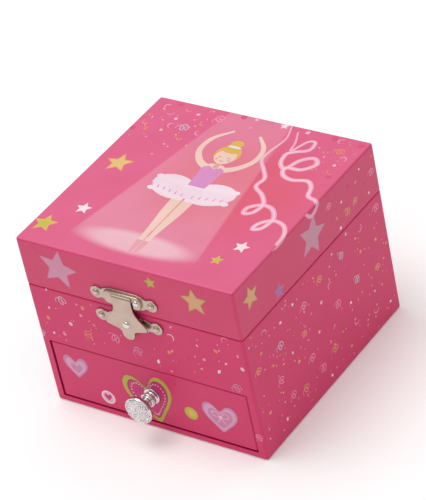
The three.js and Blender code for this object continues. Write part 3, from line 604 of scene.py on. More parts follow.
# Each side of an upright box: the directions of its own u and v, seen from outside.
SIDES = {
    "front": (X, Z),
    "right": (Y, Z),
    "back": (-X, Z),
    "left": (-Y, Z),
    "top": (X, Y),
    "bottom": (X, -Y),
}


def side_frame(side, low_corner, high_corner):
    """A side's origin, its two directions and its rectangle, measured from the case's corner."""
    u_way, v_way = SIDES[side]
    facing = u_way.cross(v_way)
    start = Vector((LEFT if u_way.x + v_way.x >= 0 else RIGHT, FRONT if u_way.y + v_way.y >= 0 else BACK, 0))
    surface = high_corner if facing.x + facing.y + facing.z > 0 else low_corner
    origin = start + facing * (surface - start).dot(facing)
    us = sorted((corner - start).dot(u_way) for corner in (low_corner, high_corner))
    vs = sorted((corner - start).dot(v_way) for corner in (low_corner, high_corner))
    return origin, u_way, v_way, (us[0], vs[0], us[1], vs[1])


def rectangle(u0, v0, u1, v1):
    return [(u0, v0), (u1, v0), (u1, v1), (u0, v1)]


def inside(loop, centres):
    """Which of an array of centres lie inside a loop."""
    hits = np.zeros(len(centres), bool)
    for (u0, v0), (u1, v1) in zip(loop, [*loop[1:], loop[0]]):
        if v0 != v1:
            crosses = (v0 > centres[:, 1]) != (v1 > centres[:, 1])
            hits ^= crosses & (centres[:, 0] < u0 + (centres[:, 1] - v0) * (u1 - u0) / (v1 - v0))
    return hits


def triangles(rect, shapes, holes, lines_u, lines_v, ground):
    """Cuts a rectangle along its printed shapes; a later shape lies over the earlier ones."""
    points = []
    edges = []

    def add_lines(loop, closed=True):
        first = len(points)
        count = len(loop)
        points.extend(Vector(point[:2]) for point in loop)
        edges.extend((first + k, first + (k + 1) % count) for k in range(count if closed else count - 1))

    loops = [[tuple(point[:2]) for point in loop] for loop, _ in shapes]
    for loop in [rectangle(*rect), *holes, *loops]:
        add_lines(loop)
    for u in lines_u:
        add_lines([(u, rect[1]), (u, rect[3])], closed=False)
    for v in lines_v:
        add_lines([(rect[0], v), (rect[2], v)], closed=False)
    cut, _, cut_faces, _, _, _ = delaunay_2d_cdt(points, edges, [], 0, 1e-5)

    places = np.array([tuple(point) for point in cut])
    centres = places[np.array([list(face) for face in cut_faces])].mean(axis=1)
    kept = inside(rectangle(*rect), centres)
    for hole in holes:
        kept &= ~inside(hole, centres)
    colours = np.full(len(centres), -1)
    for number, loop in enumerate(loops):
        corners = np.array(loop)
        near = np.all((centres > corners.min(axis=0)) & (centres < corners.max(axis=0)), axis=1)
        chosen = np.flatnonzero(near)
        colours[chosen[inside(loop, centres[chosen])]] = number
    return [
        ([cut[corner] for corner in face], shapes[number][1] if number >= 0 else ground)
        for face, number, wanted in zip(cut_faces, colours, kept)
        if wanted
    ]


def round_steps(radius, steps=3):
    """Distances from an edge at which a rounded skin needs a line of corners."""
    return [radius * (1 - math.tan(math.pi / 4 * step / steps)) for step in range(steps)]


def guide_lines(start, end, after_start, before_end):
    """Where the lines of corners run between two edges, given their distances from each edge."""
    places = [start + step for step in after_start] + [end - step for step in before_end]
    return sorted({round(place, 4) for place in places if start + 1e-3 < place < end - 1e-3})


def rounded(point, low_corner, high_corner, corner, bottom, top):
    """Where a point of a sharp box goes once its edges are rounded, and the way it faces there."""
    core = Vector((
        min(max(point.x, low_corner.x + corner), high_corner.x - corner),
        min(max(point.y, low_corner.y + corner), high_corner.y - corner),
        0,
    ))
    out = Vector((point.x, point.y, 0)) - core
    upper = point.z > (low_corner.z + high_corner.z) / 2
    sign = 1 if upper else -1
    reach = max(abs(out.x), abs(out.y))
    if reach < 1e-6:
        return point, Z * sign
    way = out.normalized()
    radius = top if upper else bottom
    end = high_corner.z if upper else low_corner.z
    inset = corner - reach
    depth = abs(end - point.z)
    turn = Vector((max(radius - inset, 0), max(radius - depth, 0))).normalized()
    outward = corner - max(inset, radius) + radius * turn.x
    height = end - sign * (max(depth, radius) - radius * turn.y)
    return core + way * outward + Z * height, way * turn.x + Z * sign * turn.y


def add_box(skin, low_corner, high_corner, art, ground, corner=1.6, bottom=1.0, top=1.0, holes=None):
    """The outside of a rounded box; art and holes are given side by side."""
    holes = holes or {}
    for side in SIDES:
        origin, u_way, v_way, rect = side_frame(side, low_corner, high_corner)
        plan_steps = [corner, *round_steps(corner)]
        if side in ("top", "bottom"):
            plan_steps += round_steps(top if side == "top" else bottom)
            below = plan_steps
            above = plan_steps
        else:
            below = [bottom, *round_steps(bottom)]
            above = [top, *round_steps(top)]
        lines_u = guide_lines(rect[0], rect[2], plan_steps, plan_steps)
        lines_v = guide_lines(rect[1], rect[3], below, above)
        shapes = art.get(side, [])
        cut_outs = holes.get(side, [])
        for loop, colour in triangles(rect, shapes, cut_outs, lines_u, lines_v, ground):
            corners = [origin + u_way * u + v_way * v for u, v in loop]
            placed = [rounded(point, low_corner, high_corner, corner, bottom, top) for point in corners]
            skin.add([place for place, _ in placed], [facing for _, facing in placed], colour)


def add_cavity(skin, low_corner, high_corner, colour, open_side=None, holes=None):
    """The inside of a box, facing inwards."""
    holes = holes or {}
    for side in SIDES:
        if side == open_side:
            continue
        origin, u_way, v_way, rect = side_frame(side, low_corner, high_corner)
        facing = -u_way.cross(v_way)
        for loop, _ in triangles(rect, [], holes.get(side, []), [], [], colour):
            corners = [origin + u_way * u + v_way * v for u, v in reversed(loop)]
            skin.add(corners, [facing] * len(corners), colour)


def add_bore(skin, start, end, radius, colour, sides=28):
    """The inside wall of a round hole from start to end."""
    axis = (end - start).normalized()
    side_way = axis.orthogonal().normalized()
    other = axis.cross(side_way)
    ring = [side_way * math.cos(TAU * k / sides) + other * math.sin(TAU * k / sides) for k in range(sides)]
    for here, there in zip(ring, [*ring[1:], ring[0]]):
        corners = [start + here * radius, end + here * radius, end + there * radius, start + there * radius]
        skin.add(corners, [-here, -here, -there, -there], colour)


def add_lip(skin, outer, inner, outer_level, inner_level, colour):
    """A narrow sloping strip between two rectangles, such as a turned-in edge of the paper."""
    outer_loop = [Vector((u, v, outer_level)) for u, v in rectangle(*outer)]
    inner_loop = [Vector((u, v, inner_level)) for u, v in rectangle(*inner)]
    for k in range(4):
        corners = [outer_loop[k], outer_loop[(k + 1) % 4], inner_loop[(k + 1) % 4], inner_loop[k]]
        facing = (corners[1] - corners[0]).cross(corners[2] - corners[1]).normalized()
        if facing.z * (outer_level - inner_level) < 0:
            corners.reverse()
            facing = -facing
        skin.add(corners, [facing] * 4, colour)


# ---------------------------------------------------------------- what is printed on each face
def edged_star(centre, radius, turn, halo, edge, fill):
    """A star whose edge fades into the paper in two steps."""
    layers = ((1.0, halo), (0.91, edge), (0.8, fill))
    return [(star(centre, radius * share, turn), colour) for share, colour in layers]


def front_band_art():
    shapes = sprinkled(0, WIDTH, MOUTH_TOP, SEAM, 40, 2)
    shapes += dots([(84, 59), (80, 46), (34, 42), (79, 39)], "dark_rose", 1.0, 3)
    shapes += dots([(9, 53), (10, 63), (19, 47), (8, 39), (99, 49), (107, 48.5)], "rose_white", 0.9, 4)
    shapes += dots([(26, 53.5), (14, 40), (69, 36), (88, 48), (106, 55), (74, 61)], "pale_pink", 0.8, 5)
    shapes += dots([(28, 58), (32, 50), (70, 46.5), (95, 54.5), (7, 47)], "orange", 1.0, 6)
    for place, turn in (((63, 39.5), -15), ((94.5, 43.5), -35)):
        shapes.append((ellipse(place, 0.8, 1.5, turn, 4), "white"))
    shapes += curl((17, 59), 2.5, 30, "blue_white")
    shapes += curl((27.5, 43.5), 2.4, 80, "orange")
    shapes += curl((42, 46), 2.5, -20, "pale_pink")
    shapes += curl((53, 42), 2.5, 60, "lilac_curl")
    shapes += curl((102, 37), 2.4, 50, "lilac_curl")
    shapes += curl((108, 12), 2.0, 60, "pale_pink")
    shapes += hook((72.5, 55), 1.7, -60, "white")
    shapes += hook((101, 61.5), 1.7, 20, "pale_pink")
    shapes += curl((0.8, 37), 2.0, 60, "blue_white")
    return shapes


def lid_front_art():
    shapes = edged_star((20, 76.5), 10.4, -12, "lilac_halo", "lilac_star", "lilac_star")
    shapes += edged_star((68.5, 82.5), 3.3, 10, "lime_halo", "lime_dull", "lime_dull")
    shapes += edged_star((89.5, 78.3), 7.2, 3, "lime_halo", "lime_dull", "tan_star")
    return shapes


def lid_side_art():
    shapes = edged_star((11, 78.5), 6, 8, "lime_halo", "lime_dull", "tan_star")
    shapes += edged_star((29.5, 68), 4, -8, "lilac_halo", "violet", "violet")
    shapes += edged_star((57.5, 76), 10.2, -20, "lilac_halo", "grey_star", "grey_star")
    ribbon = [(66.5, 89.5), (64.5, 86.7), (61, 84.8), (58, 85.6), (55.5, 89.5)]
    shapes += stroke(smooth_line(ribbon), [2.1, 1.9, 1.6], "streamer")
    shapes += stroke(smooth_line([(42, 89), (37, 87.8), (33, 87.9), (30, 89)]), [1.8, 1.8], "streamer")
    shapes += curls([(72, 81), (105, 76)], "pale_pink", seed=21)
    shapes += curls([(84, 70), (90.5, 71)], "amber", seed=22)
    shapes += dots([(77.5, 66), (97, 83), (81, 77), (101, 68)], "white", 0.7, 23)
    shapes += dots([(93, 79), (76, 72), (107, 83)], "orange", 0.8, 24)
    shapes += dots([(87, 81), (99, 74.5)], "dark_rose", 1.1, 25)
    return shapes


def body_side_art():
    """The confetti of the case's right side: curls of four colours between small dots."""
    shapes = sprinkled(0, WIDTH, 0, SEAM, 150, 30)
    shapes += curls([(74, 54), (23, 44), (82, 35.5)], "blue_white", 2.3, 31)
    amber = [(40, 37.5), (56.5, 54), (6, 43.5), (98, 30.5), (58.5, 15.5), (34, 12.5)]
    shapes += curls(amber, "amber", 2.0, 32)
    pink = [(43, 50), (66, 34), (25, 16), (48, 13), (42, 23), (19, 28.5), (104, 58)]
    shapes += curls(pink, "pale_pink", 2.1, 33)
    shapes += hooks([(90, 57), (14, 57), (77, 17), (92, 12), (63, 46)], "streamer", 1.6, 34)
    shapes += dots([(36, 56), (26, 54), (75, 28), (18, 8.5), (53, 5), (103, 8)], "white", 0.75, 35)
    shapes += dots([(10, 50), (33, 28), (61, 26), (88, 46), (70, 8), (100, 44), (8, 20)], "amber", 0.8, 36)
    shapes += dots([(30, 35), (55, 43), (80, 61), (68, 59), (93, 21), (50, 31)], "rose_white", 0.8, 37)
    shapes += dots([(16, 39), (47, 43), (84, 9), (66, 19), (107, 37), (32, 61), (84, 27)], "orange", 0.8, 38)
    shapes += dots([(29, 24), (57, 36), (95, 37), (37, 7), (73, 42), (13, 13)], "dark_rose", 1.1, 39)
    return shapes


def streamers():
    """Two paper streamers that fall from the back of the lid and loop as they go."""
    first = [
        (70, 109), (72.5, 101), (72, 95), (70.8, 89), (71, 83), (75.5, 77.5), (79.5, 72), (79, 66),
        (85, 61.5), (89, 56), (88, 50), (84.5, 48), (84, 52), (89, 55.5), (94.5, 54.5), (98.5, 49),
        (97.5, 42), (94, 40), (94.5, 44), (99, 47.8), (105, 46.5), (108.8, 41), (109.6, 34),
    ]
    second = [
        (75, 106), (78, 99), (79.5, 93), (83, 101), (86.5, 101.5), (86.8, 96), (81.5, 92.8), (78.8, 90),
        (80, 84), (84, 81), (87, 88), (92, 91.5), (95.5, 88), (91, 82.5), (84, 81.8), (85.5, 77),
        (91, 75), (98, 76.5), (102, 73), (104, 67.5), (108.5, 65.8), (112, 63),
    ]
    shapes = []
    for knots in (first, second):
        line = smooth_line(knots, 7)
        shapes += stroke(line, [0.8, 2.1, 2.3, 2.3, 2.1], "streamer")
        shapes += stroke(line[10:], [0.2, 0.9, 0.5, 0.9, 0.6], "streamer_light")
    return shapes


def printed_dancer():
    """A plain dancer on both toes: arms rounded overhead, legs together, a bun, a face of three lines."""
    centre = 54.5
    shapes = []
    for side in (-1, 1):
        leg = ((3.0, 48), (2.7, 38), (2.0, 28), (1.7, 20), (1.1, 9))
        line = smooth_line([(centre + side * across, up) for across, up in leg])
        shapes += stroke(line, [5.2, 4.6, 3.4, 2.4, 1.1], "skin")
        shoe = [(centre + side * across, up) for across, up in ((1.6, 17.5), (1.4, 13), (1.1, 8.6))]
        shapes += stroke(shoe, [2.9, 2.5, 1.1], "shoe")
    shapes += stroke([(centre, 47), (centre, 18)], [0.9, 0.3], "skin_shade")
    for side in (-1, 1):
        arm = ((3.8, 70.5), (9.5, 74), (14, 81), (13, 90), (6.5, 97.5))
        line = smooth_line([(centre + side * across, up) for across, up in arm])
        shapes += stroke(line, [3.6, 3.1, 2.7, 2.3, 1.2], "skin")
    shapes.append((ellipse((centre, 54.5), 8.5, 6.5), "tutu"))
    for side in (-1, 1):
        shapes.append((ellipse((centre + side * 9.5, 54), 11.5, 7.6, side * 14), "tutu"))
        for fold in range(6):
            foot = Vector((centre + side * (2.5 + 3.2 * fold), 47.6 + 0.55 * fold))
            lean = Vector((side * (0.3 + 0.28 * fold), 3.6))
            shapes += stroke([foot, foot + lean], [1.2, 0.3], "tutu_shade")
            shapes.append((ellipse(foot, 2.1, 1.4), "white"))
            crest = foot + Vector((side * 0.3, 9.5 - 0.25 * fold))
            shapes.append((ellipse(crest, 2.4, 1.5, side * 10), "white"))
    bodice = [
        (50.2, 57), (58.8, 57), (59.4, 63), (60, 70.5), (57.5, 72), (centre, 70.4), (51.5, 72), (49, 70.5),
        (49.7, 63),
    ]
    shapes.append((bodice, "bodice"))
    shapes.append((ellipse((centre, 72.2), 4.6, 1.9), "skin"))
    shapes.append((bodice[3:8] + [(centre, 67.5)], "bodice"))
    shapes.append((rectangle(53.2, 71, 55.8, 76), "skin_shade"))
    shapes.append((ellipse((centre, 89.3), 3.1, 2.7), "hair"))
    shapes.append((ellipse((centre, 81.6), 6.0, 6.4, 0, 28), "hair"))
    shapes.append((ellipse((centre, 79.8), 5.0, 5.3, 0, 28), "skin"))
    shapes.append((ellipse((centre, 84.4), 4.6, 1.9), "hair"))
    shapes.append((ellipse((centre, 87.2), 3.4, 0.8), "white"))
    for side in (-1, 1):
        eye = [(centre + side * 1.3, 79.4), (centre + side * 2.2, 78.9), (centre + side * 3.1, 79.5)]
        shapes += stroke(smooth_line(eye, 3), [0.2, 0.35, 0.2], "brown")
        shapes.append((ellipse((centre + side * 3.1, 77.5), 0.8, 0.6, 0, 10), "shoe"))
    mouth = smooth_line([(53.5, 76.8), (centre, 76.4), (55.5, 76.8)], 3)
    shapes += stroke(mouth, [0.2, 0.4, 0.2], "dark_rose")
    return shapes


def lid_top_art():
    shapes = sprinkled(0, 44, 74, WIDTH, 34, 45) + sprinkled(88, WIDTH, 78, WIDTH, 16, 46)
    shapes += dots([(13, 107), (93, 107), (2, 85), (46, 108), (107, 106), (105, 82)], "dull_red", 1.6, 41)
    shapes += dots([(8, 86), (3.5, 96), (29, 107), (41, 107), (95.5, 84), (25, 109)], "orange", 0.8, 42)
    pale = [(15.5, 87.5), (17, 97), (25, 103), (52.5, 108), (79.5, 107), (103, 90)]
    shapes += dots(pale, "rose_white", 1.0, 43)
    shapes += dots([(23, 79), (22, 71), (12, 81), (53, 102), (95.5, 94), (90, 99)], "pale_pink", 0.8, 44)
    shapes += curl((24, 92.5), 2.6, 25, "blue_white", 0.5)
    shapes += curl((36, 103), 2.6, 75, "pale_pink", 0.5)
    shapes += curl((100, 99.5), 2.2, 30, "orange", 0.6)
    shapes += hook((8, 88.5), 1.6, 120, "orange", 0.6)
    shapes += hook((12, 100.5), 1.6, 200, "pale_pink")
    shapes += hooks([(19, 105), (31, 98), (5, 91), (27, 85)], "amber", 1.5, 47)
    shapes += hooks([(8, 104), (33, 91), (18, 92), (97, 106), (104, 95)], "rose_white", 1.4, 48)
    shapes += edged_star((11.8, 60.5), 7.2, 8, "tan_halo", "amber", "yellow")
    shapes += edged_star((6.5, 13), 6.2, 5, "tan_halo", "yellow", "lime")
    shapes += [(star((16.5, 27.5), 3.9, 5), "white"), (star((96.5, 28), 3.8, -5), "white")]
    shapes += edged_star((91.5, 17), 3.2, 8, "tan_halo", "yellow", "lime")
    shapes += [(star((67, 108), 2.4, 10), "white"), (star((79.3, 107), 1.5, 0), "rose_white")]
    return shapes + streamers() + printed_dancer()


def drawer_art():
    shapes = [(heart((15.5, 22), 13, 11.5), "heart_lilac"), (heart((15.5, 21.8), 10.6, 9.2), "heart_pale")]
    shapes.append((heart((15.7, 21.2), 6, 5), "heart_lilac"))
    shapes += [(ellipse((29.5, 9.5), 3.6), "white"), (ellipse((29.5, 9.5), 2.9), "rose_white")]
    shapes.append((heart((29.5, 9.5), 3.9, 3.7), "magenta"))
    big = {"centre": (53.6, 15.9), "turn": 12}
    shapes.append((heart(width=25.5, height=24.2, **big, sides=60), "green_heart"))
    shapes.append((heart(width=21.4, height=20.2, **big, sides=60), "magenta_edge"))
    shapes.append((heart(width=20.2, height=19.0, **big, sides=60), "magenta"))
    for spot in heart(width=17.6, height=16.4, **big, sides=38):
        shapes.append((ellipse(spot, 0.38, sides=8), "streamer_light"))
    for radius, colour in ((3.4, "green_heart"), (2.7, "lime"), (1.5, "yellow")):
        shapes.append((ellipse((74, 14.5), radius), colour))
    shapes += [(heart((89.5, 16.5), 18, 15), "heart_lilac"), (heart((89.5, 16.4), 16.2, 13.3), "heart_pale")]
    shapes.append((heart((89.5, 16.2), 12.5, 10), "heart_lilac"))
    for side in (-1, 1):
        for knots in (
            ((0, 0), (2.2, 2.4), (4.2, 1.8), (3.6, 0), (0.2, -0.1)),
            ((0, 0), (0.8, -1.8), (2.2, -3.6)),
        ):
            line = [(89.5 + side * u, 17.2 + v) for u, v in knots]
            shapes += stroke(smooth_line(line), [0.5, 0.7, 0.5], "streamer")
    shapes.append((ellipse((89.5, 17.2), 0.8), "streamer_light"))
    return shapes


# ---------------------------------------------------------------- case, lid and drawer
def inset_rect(low_corner, high_corner, inset):
    return (low_corner.x + inset, low_corner.y + inset, high_corner.x - inset, high_corner.y - inset)


def drilled(side, low_corner, high_corner, place, radius):
    """A round hole's outline on a side, from its place in the box."""
    origin, u_way, v_way, _ = side_frame(side, low_corner, high_corner)
    return ellipse(((place - origin).dot(u_way), (place - origin).dot(v_way)), radius, sides=28)


def make_case(inks, lining):
    outer_low = Vector((LEFT, FRONT, 0))
    outer_high = Vector((RIGHT, BACK, SEAM))
    lip = 0.45
    tray_low = Vector((-INNER, -INNER, SHELF_TOP))
    tray_high = Vector((INNER, INNER, SEAM))
    bay_low = Vector((-INNER, FRONT, BASE_TOP))
    bay_high = Vector((INNER, PARTITION, MOUTH_TOP))
    rear_low = Vector((-INNER, PARTITION_BACK, BASE_TOP))
    rear_high = Vector((INNER, INNER, SHELF_BOTTOM))
    key_hole = 3.5
    spindle_hole = 2.7
    pin_hole = 0.9
    key_place = Vector((0, BACK, KEY_Z))
    spindle_place = Vector((0, SPINDLE_Y, SHELF_TOP))
    pin_place = Vector((*middle("stop_pin").xy, SHELF_TOP))

    art = {
        "front": front_band_art(),
        "right": body_side_art(),
        "back": sprinkled(0, WIDTH, 0, SEAM, 120, 53) + scattered(WIDTH, 0, SEAM, 62, 51),
        "left": sprinkled(0, WIDTH, 0, SEAM, 120, 54) + scattered(WIDTH, 0, SEAM, 62, 52),
    }
    mouth = rectangle(bay_low.x - LEFT, bay_low.z, bay_high.x - LEFT, bay_high.z)
    rim = rectangle(*[value - LEFT for value in inset_rect(tray_low, tray_high, -lip)])
    holes = {
        "front": [mouth],
        "top": [rim],
        "back": [drilled("back", outer_low, outer_high, key_place, key_hole)],
    }
    shell = Skin()
    add_box(shell, outer_low, outer_high, art, "ground", corner=1.4, bottom=0.9, top=0.6, holes=holes)
    opening = inset_rect(tray_low, tray_high, 0)
    add_lip(shell, inset_rect(tray_low, tray_high, -lip), opening, SEAM, SEAM - lip, "ground")
    # The bay, the rear cavity and the bores take the lining colour, darker than the ground: painted shade
    # inside the case's recesses.
    add_cavity(shell, bay_low, bay_high, "lining", "front")
    drills = [(spindle_place, spindle_hole), (pin_place, pin_hole)]
    rear_holes = {
        "back": [drilled("back", rear_low, rear_high, key_place, key_hole)],
        "top": [drilled("top", rear_low, rear_high, place, radius) for place, radius in drills],
    }
    add_cavity(shell, rear_low, rear_high, "lining", holes=rear_holes)
    add_bore(shell, key_place - Y * (BACK - INNER), key_place, key_hole, "lining")
    for place, radius in drills:
        add_bore(shell, place - Z * (SHELF_TOP - SHELF_BOTTOM), place, radius, "lining")
    piece = shell.build("case_shell", inks)
    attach(piece, "case")
    walls = ("left_wall", "right_wall", "back_wall", "front_panel")
    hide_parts("base_board", *walls, "shelf_board", "bay_partition")

    inside = Skin()
    tray_high.z = SEAM - lip
    floor_holes = [drilled("bottom", tray_low, tray_high, place, radius) for place, radius in drills]
    tray_holes = {"bottom": floor_holes}
    add_cavity(inside, tray_low, tray_high, "cloth", "top", tray_holes)
    cover = inside.build("tray_lining", {"cloth": lining})
    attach(cover, "case")


def make_lid(inks, lining):
    outer_low = Vector((LEFT, FRONT, LID_BOTTOM))
    outer_high = Vector((RIGHT, BACK, HEIGHT))
    lip = 0.45
    room_low = Vector((-LID_INNER, -LID_INNER, LID_BOTTOM))
    room_high = Vector((LID_INNER, LID_INNER, LID_CEILING))
    art = {
        "front": lid_front_art(),
        "right": lid_side_art(),
        "top": lid_top_art(),
        "back": scattered(WIDTH, LID_BOTTOM, HEIGHT, 22, 61),
        "left": scattered(WIDTH, LID_BOTTOM, HEIGHT, 22, 62),
    }
    edge = inset_rect(room_low, room_high, -lip)
    rim = rectangle(edge[0] - LEFT, BACK - edge[3], edge[2] - LEFT, BACK - edge[1])
    shell = Skin()
    holes = {"bottom": [rim]}
    add_box(shell, outer_low, outer_high, art, "lid", corner=1.4, bottom=0.6, top=1.2, holes=holes)
    add_lip(shell, edge, inset_rect(room_low, room_high, 0), LID_BOTTOM, LID_BOTTOM + lip, "lid")
    piece = shell.build("lid_shell", inks)
    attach(piece, "lid")
    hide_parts("lid_top", "lid_front", "lid_back", "lid_left", "lid_right")

    inside = Skin()
    room_low.z += lip
    add_cavity(inside, room_low, room_high, "cloth", "bottom")
    block_low = Vector((low("stop_pin").x - 2.1, 44, LID_BOTTOM))
    block_high = Vector((low("stop_pin").x + 3.9, LID_INNER + 0.5, LID_BOTTOM + 4))
    add_box(inside, block_low, block_high, {}, "cloth", corner=0.5, bottom=0.5, top=0.5)
    cover = inside.build("lid_room_lining", {"cloth": lining})
    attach(cover, "lid")


def make_drawer(inks, flocking):
    front_low = low("drawer_front")
    front_high = high("drawer_front")
    screw = middle("knob_screw")
    screw_place = Vector((screw.x, front_low.y, screw.z))
    holes = {side: [drilled(side, front_low, front_high, screw_place, 1.5)] for side in ("front", "back")}
    face = Skin()
    add_box(face, front_low, front_high, {"front": drawer_art()}, "ground", 0.8, 0.6, 0.6, holes)
    # The screw's bore takes the lining colour, darker than the ground: painted shade inside the hole.
    add_bore(face, screw_place, screw_place + Y * (front_high.y - front_low.y), 1.5, "lining")
    piece = face.build("drawer_face", inks)
    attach(piece, "drawer")
    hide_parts("drawer_front")

    tub_low = low("drawer_left")
    tub_high = Vector((high("drawer_right").x, high("drawer_back").y, high("drawer_left").z))
    room_low = Vector((high("drawer_left").x, front_high.y + 0.2, high("drawer_bottom").z))
    room_high = Vector((low("drawer_right").x, low("drawer_back").y, tub_high.z))
    lip = 0.4
    rim = rectangle(*[value - LEFT for value in inset_rect(room_low, room_high, -lip)])
    tub = Skin()
    add_box(tub, tub_low, tub_high, {}, "ground", 0.8, 0.5, 0.6, {"top": [rim]})
    outer = inset_rect(room_low, room_high, -lip)
    inner = inset_rect(room_low, room_high, 0)
    add_lip(tub, outer, inner, tub_high.z, tub_high.z - lip, "ground")
    box = tub.build("drawer_tray", inks)
    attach(box, "drawer")
    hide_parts("drawer_left", "drawer_right", "drawer_back", "drawer_bottom")

    inside = Skin()
    room_high.z -= lip
    add_cavity(inside, room_low, room_high, "cloth", "top")
    cover = inside.build("drawer_lining", {"cloth": flocking})
    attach(cover, "drawer")


# ---------------------------------------------------------------- turned, bent and stamped pieces
def solid(name, faces_of, material, sharp=35):
    """A closed mesh from a function that fills a bmesh in millimetres; edges over the angle stay sharp."""
    shape = bmesh.new()
    faces_of(shape)
    bmesh.ops.remove_doubles(shape, verts=shape.verts, dist=1e-4)
    bmesh.ops.recalc_face_normals(shape, faces=shape.faces)
    bmesh.ops.scale(shape, vec=(MM, MM, MM), verts=shape.verts)
    mesh = bpy.data.meshes.new(name)
    shape.to_mesh(mesh)
    shape.free()
    mesh.materials.append(material)
    mesh.shade_smooth()
    mesh.set_sharp_from_angle(angle=math.radians(sharp))
    made = bpy.data.objects.new(name, mesh)
    bpy.context.collection.objects.link(made)
    return made


def bridge_rings(shape, rings, closed=True):
    """Quads between rings of corners; the first and last rings are filled."""
    rows = [[shape.verts.new(point) for point in ring] for ring in rings]
    for row, following in zip(rows, rows[1:]):
        count = len(row)
        for k in range(count):
            shape.faces.new((row[k], row[(k + 1) % count], following[(k + 1) % count], following[k]))
    if closed:
        shape.faces.new(reversed(rows[0]))
        shape.faces.new(rows[-1])


def ring_about(centre, axis, radius, sides):
    side_way = axis.orthogonal().normalized()
    other = axis.normalized().cross(side_way)
    turns = [TAU * k / sides for k in range(sides)]
    return [centre + (side_way * math.cos(t) + other * math.sin(t)) * max(radius, 0.004) for t in turns]


def turned(name, profile, start, axis, material, sides=48, sharp=35):
    """A turned piece: its profile is a list of (radius, distance along the axis)."""
    rings = [ring_about(start + axis * along, axis, radius, sides) for radius, along in profile]
    return solid(name, lambda shape: bridge_rings(shape, rings), material, sharp)


def bent_rod(name, points, radii, material, sides=14):
    """A rod along points, with its radii spread from its start to its end."""
    points = [Vector(point) for point in points]
    side_way = (points[1] - points[0]).orthogonal()
    rings = []
    for index, point in enumerate(points):
        along = (points[min(index + 1, len(points) - 1)] - points[max(index - 1, 0)]).normalized()
        share = index / (len(points) - 1) * (len(radii) - 1)
        cell = min(int(share), len(radii) - 2)
        radius = radii[cell] + (radii[cell + 1] - radii[cell]) * (share - cell)
        side_way = (side_way - along * along.dot(side_way)).normalized()
        other = along.cross(side_way)
        turns = [TAU * k / sides for k in range(sides)]
        rings.append([point + (side_way * math.cos(t) + other * math.sin(t)) * radius for t in turns])
    return solid(name, lambda shape: bridge_rings(shape, rings), material, 60)


def ball(name, centre, radii, material, detail=3, turn=None):
    """An ellipsoid."""
    def fill(shape):
        bmesh.ops.create_icosphere(shape, subdivisions=detail, radius=1)
        bmesh.ops.scale(shape, vec=radii, verts=shape.verts)
        if turn:
            bmesh.ops.rotate(shape, cent=(0, 0, 0), matrix=turn, verts=shape.verts)
        bmesh.ops.translate(shape, vec=centre, verts=shape.verts)
    return solid(name, fill, material, 180)


def stamped(name, loops, thickness, edge, material, origin, u_way, v_way):
    """Sheet metal cut to a flat outline with rounded edges; later loops are holes. It lies
    against the origin's plane and stands out of it by its thickness."""
    curve = bpy.data.curves.new(name, "CURVE")
    curve.dimensions = "2D"
    curve.fill_mode = "BOTH"
    curve.extrude = (thickness / 2 - edge) * MM
    curve.bevel_depth = edge * MM
    curve.offset = -edge * MM
    curve.bevel_resolution = 2
    for loop in loops:
        spline = curve.splines.new("POLY")
        spline.points.add(len(loop) - 1)
        for point, (u, v) in zip(spline.points, loop):
            point.co = (u * MM, v * MM, 0, 1)
        spline.use_cyclic_u = True
    pattern = bpy.data.objects.new(name, curve)
    bpy.context.collection.objects.link(pattern)
    graph = bpy.context.evaluated_depsgraph_get()
    mesh = bpy.data.meshes.new_from_object(pattern.evaluated_get(graph))
    bpy.data.objects.remove(pattern)
    facing = u_way.cross(v_way)
    turn = Matrix((u_way, v_way, facing)).transposed().to_4x4()
    mesh.transform(Matrix.Translation((origin + facing * thickness / 2) * MM) @ turn)
    mesh.materials.clear()
    mesh.materials.append(material)
    mesh.shade_smooth()
    mesh.set_sharp_from_angle(angle=math.radians(40))
    made = bpy.data.objects.new(name, mesh)
    bpy.context.collection.objects.link(made)
    return made


def joined(name, parts):
    with bpy.context.temp_override(active_object=parts[0], selected_editable_objects=parts):
        bpy.ops.object.join()
    parts[0].name = name
    parts[0].data.name = name
    return parts[0]


def place_piece(piece, body, slot, *nodes):
    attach(piece, body)
    if nodes:
        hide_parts(*nodes)


def mirrored(points):
    """A closed outline from its right half, listed from the top down."""
    return points + [(-u, v) for u, v in reversed(points) if abs(u) > 1e-6]


def winged_plate(half_width, half_height, neck):
    """The latch's two plates: a body whose shoulders run down into a round nail lobe each side."""
    lobe_at = 14.0
    lobe = 3.0
    shoulder = [
        (half_width - 2.4, half_height), (half_width - 0.9, half_height - 0.5),
        (half_width + 0.2, neck + 0.9), (half_width + 1.5, neck + 0.05),
    ]
    half = [(0, half_height)] + [tuple(point) for point in smooth_line(shoulder, 5)]
    start = math.pi - math.asin(neck / lobe)
    for step in range(25):
        angle = start - 2 * start * step / 24
        half.append((lobe_at + lobe * math.cos(angle), lobe * math.sin(angle)))
    half += [tuple(point) for point in smooth_line([(u, -v) for u, v in reversed(shoulder)], 5)]
    half.append((0, -half_height))
    return mirrored(half)


def dome(name, place, radius, height, axis, material):
    """A nail's or rivet's domed head."""
    profile = [(radius * math.cos(step * TAU / 32), height * math.sin(step * TAU / 32)) for step in range(9)]
    return turned(name, [(radius, -0.25), (radius, 0), *profile[1:]], place, axis, material, 28, 50)


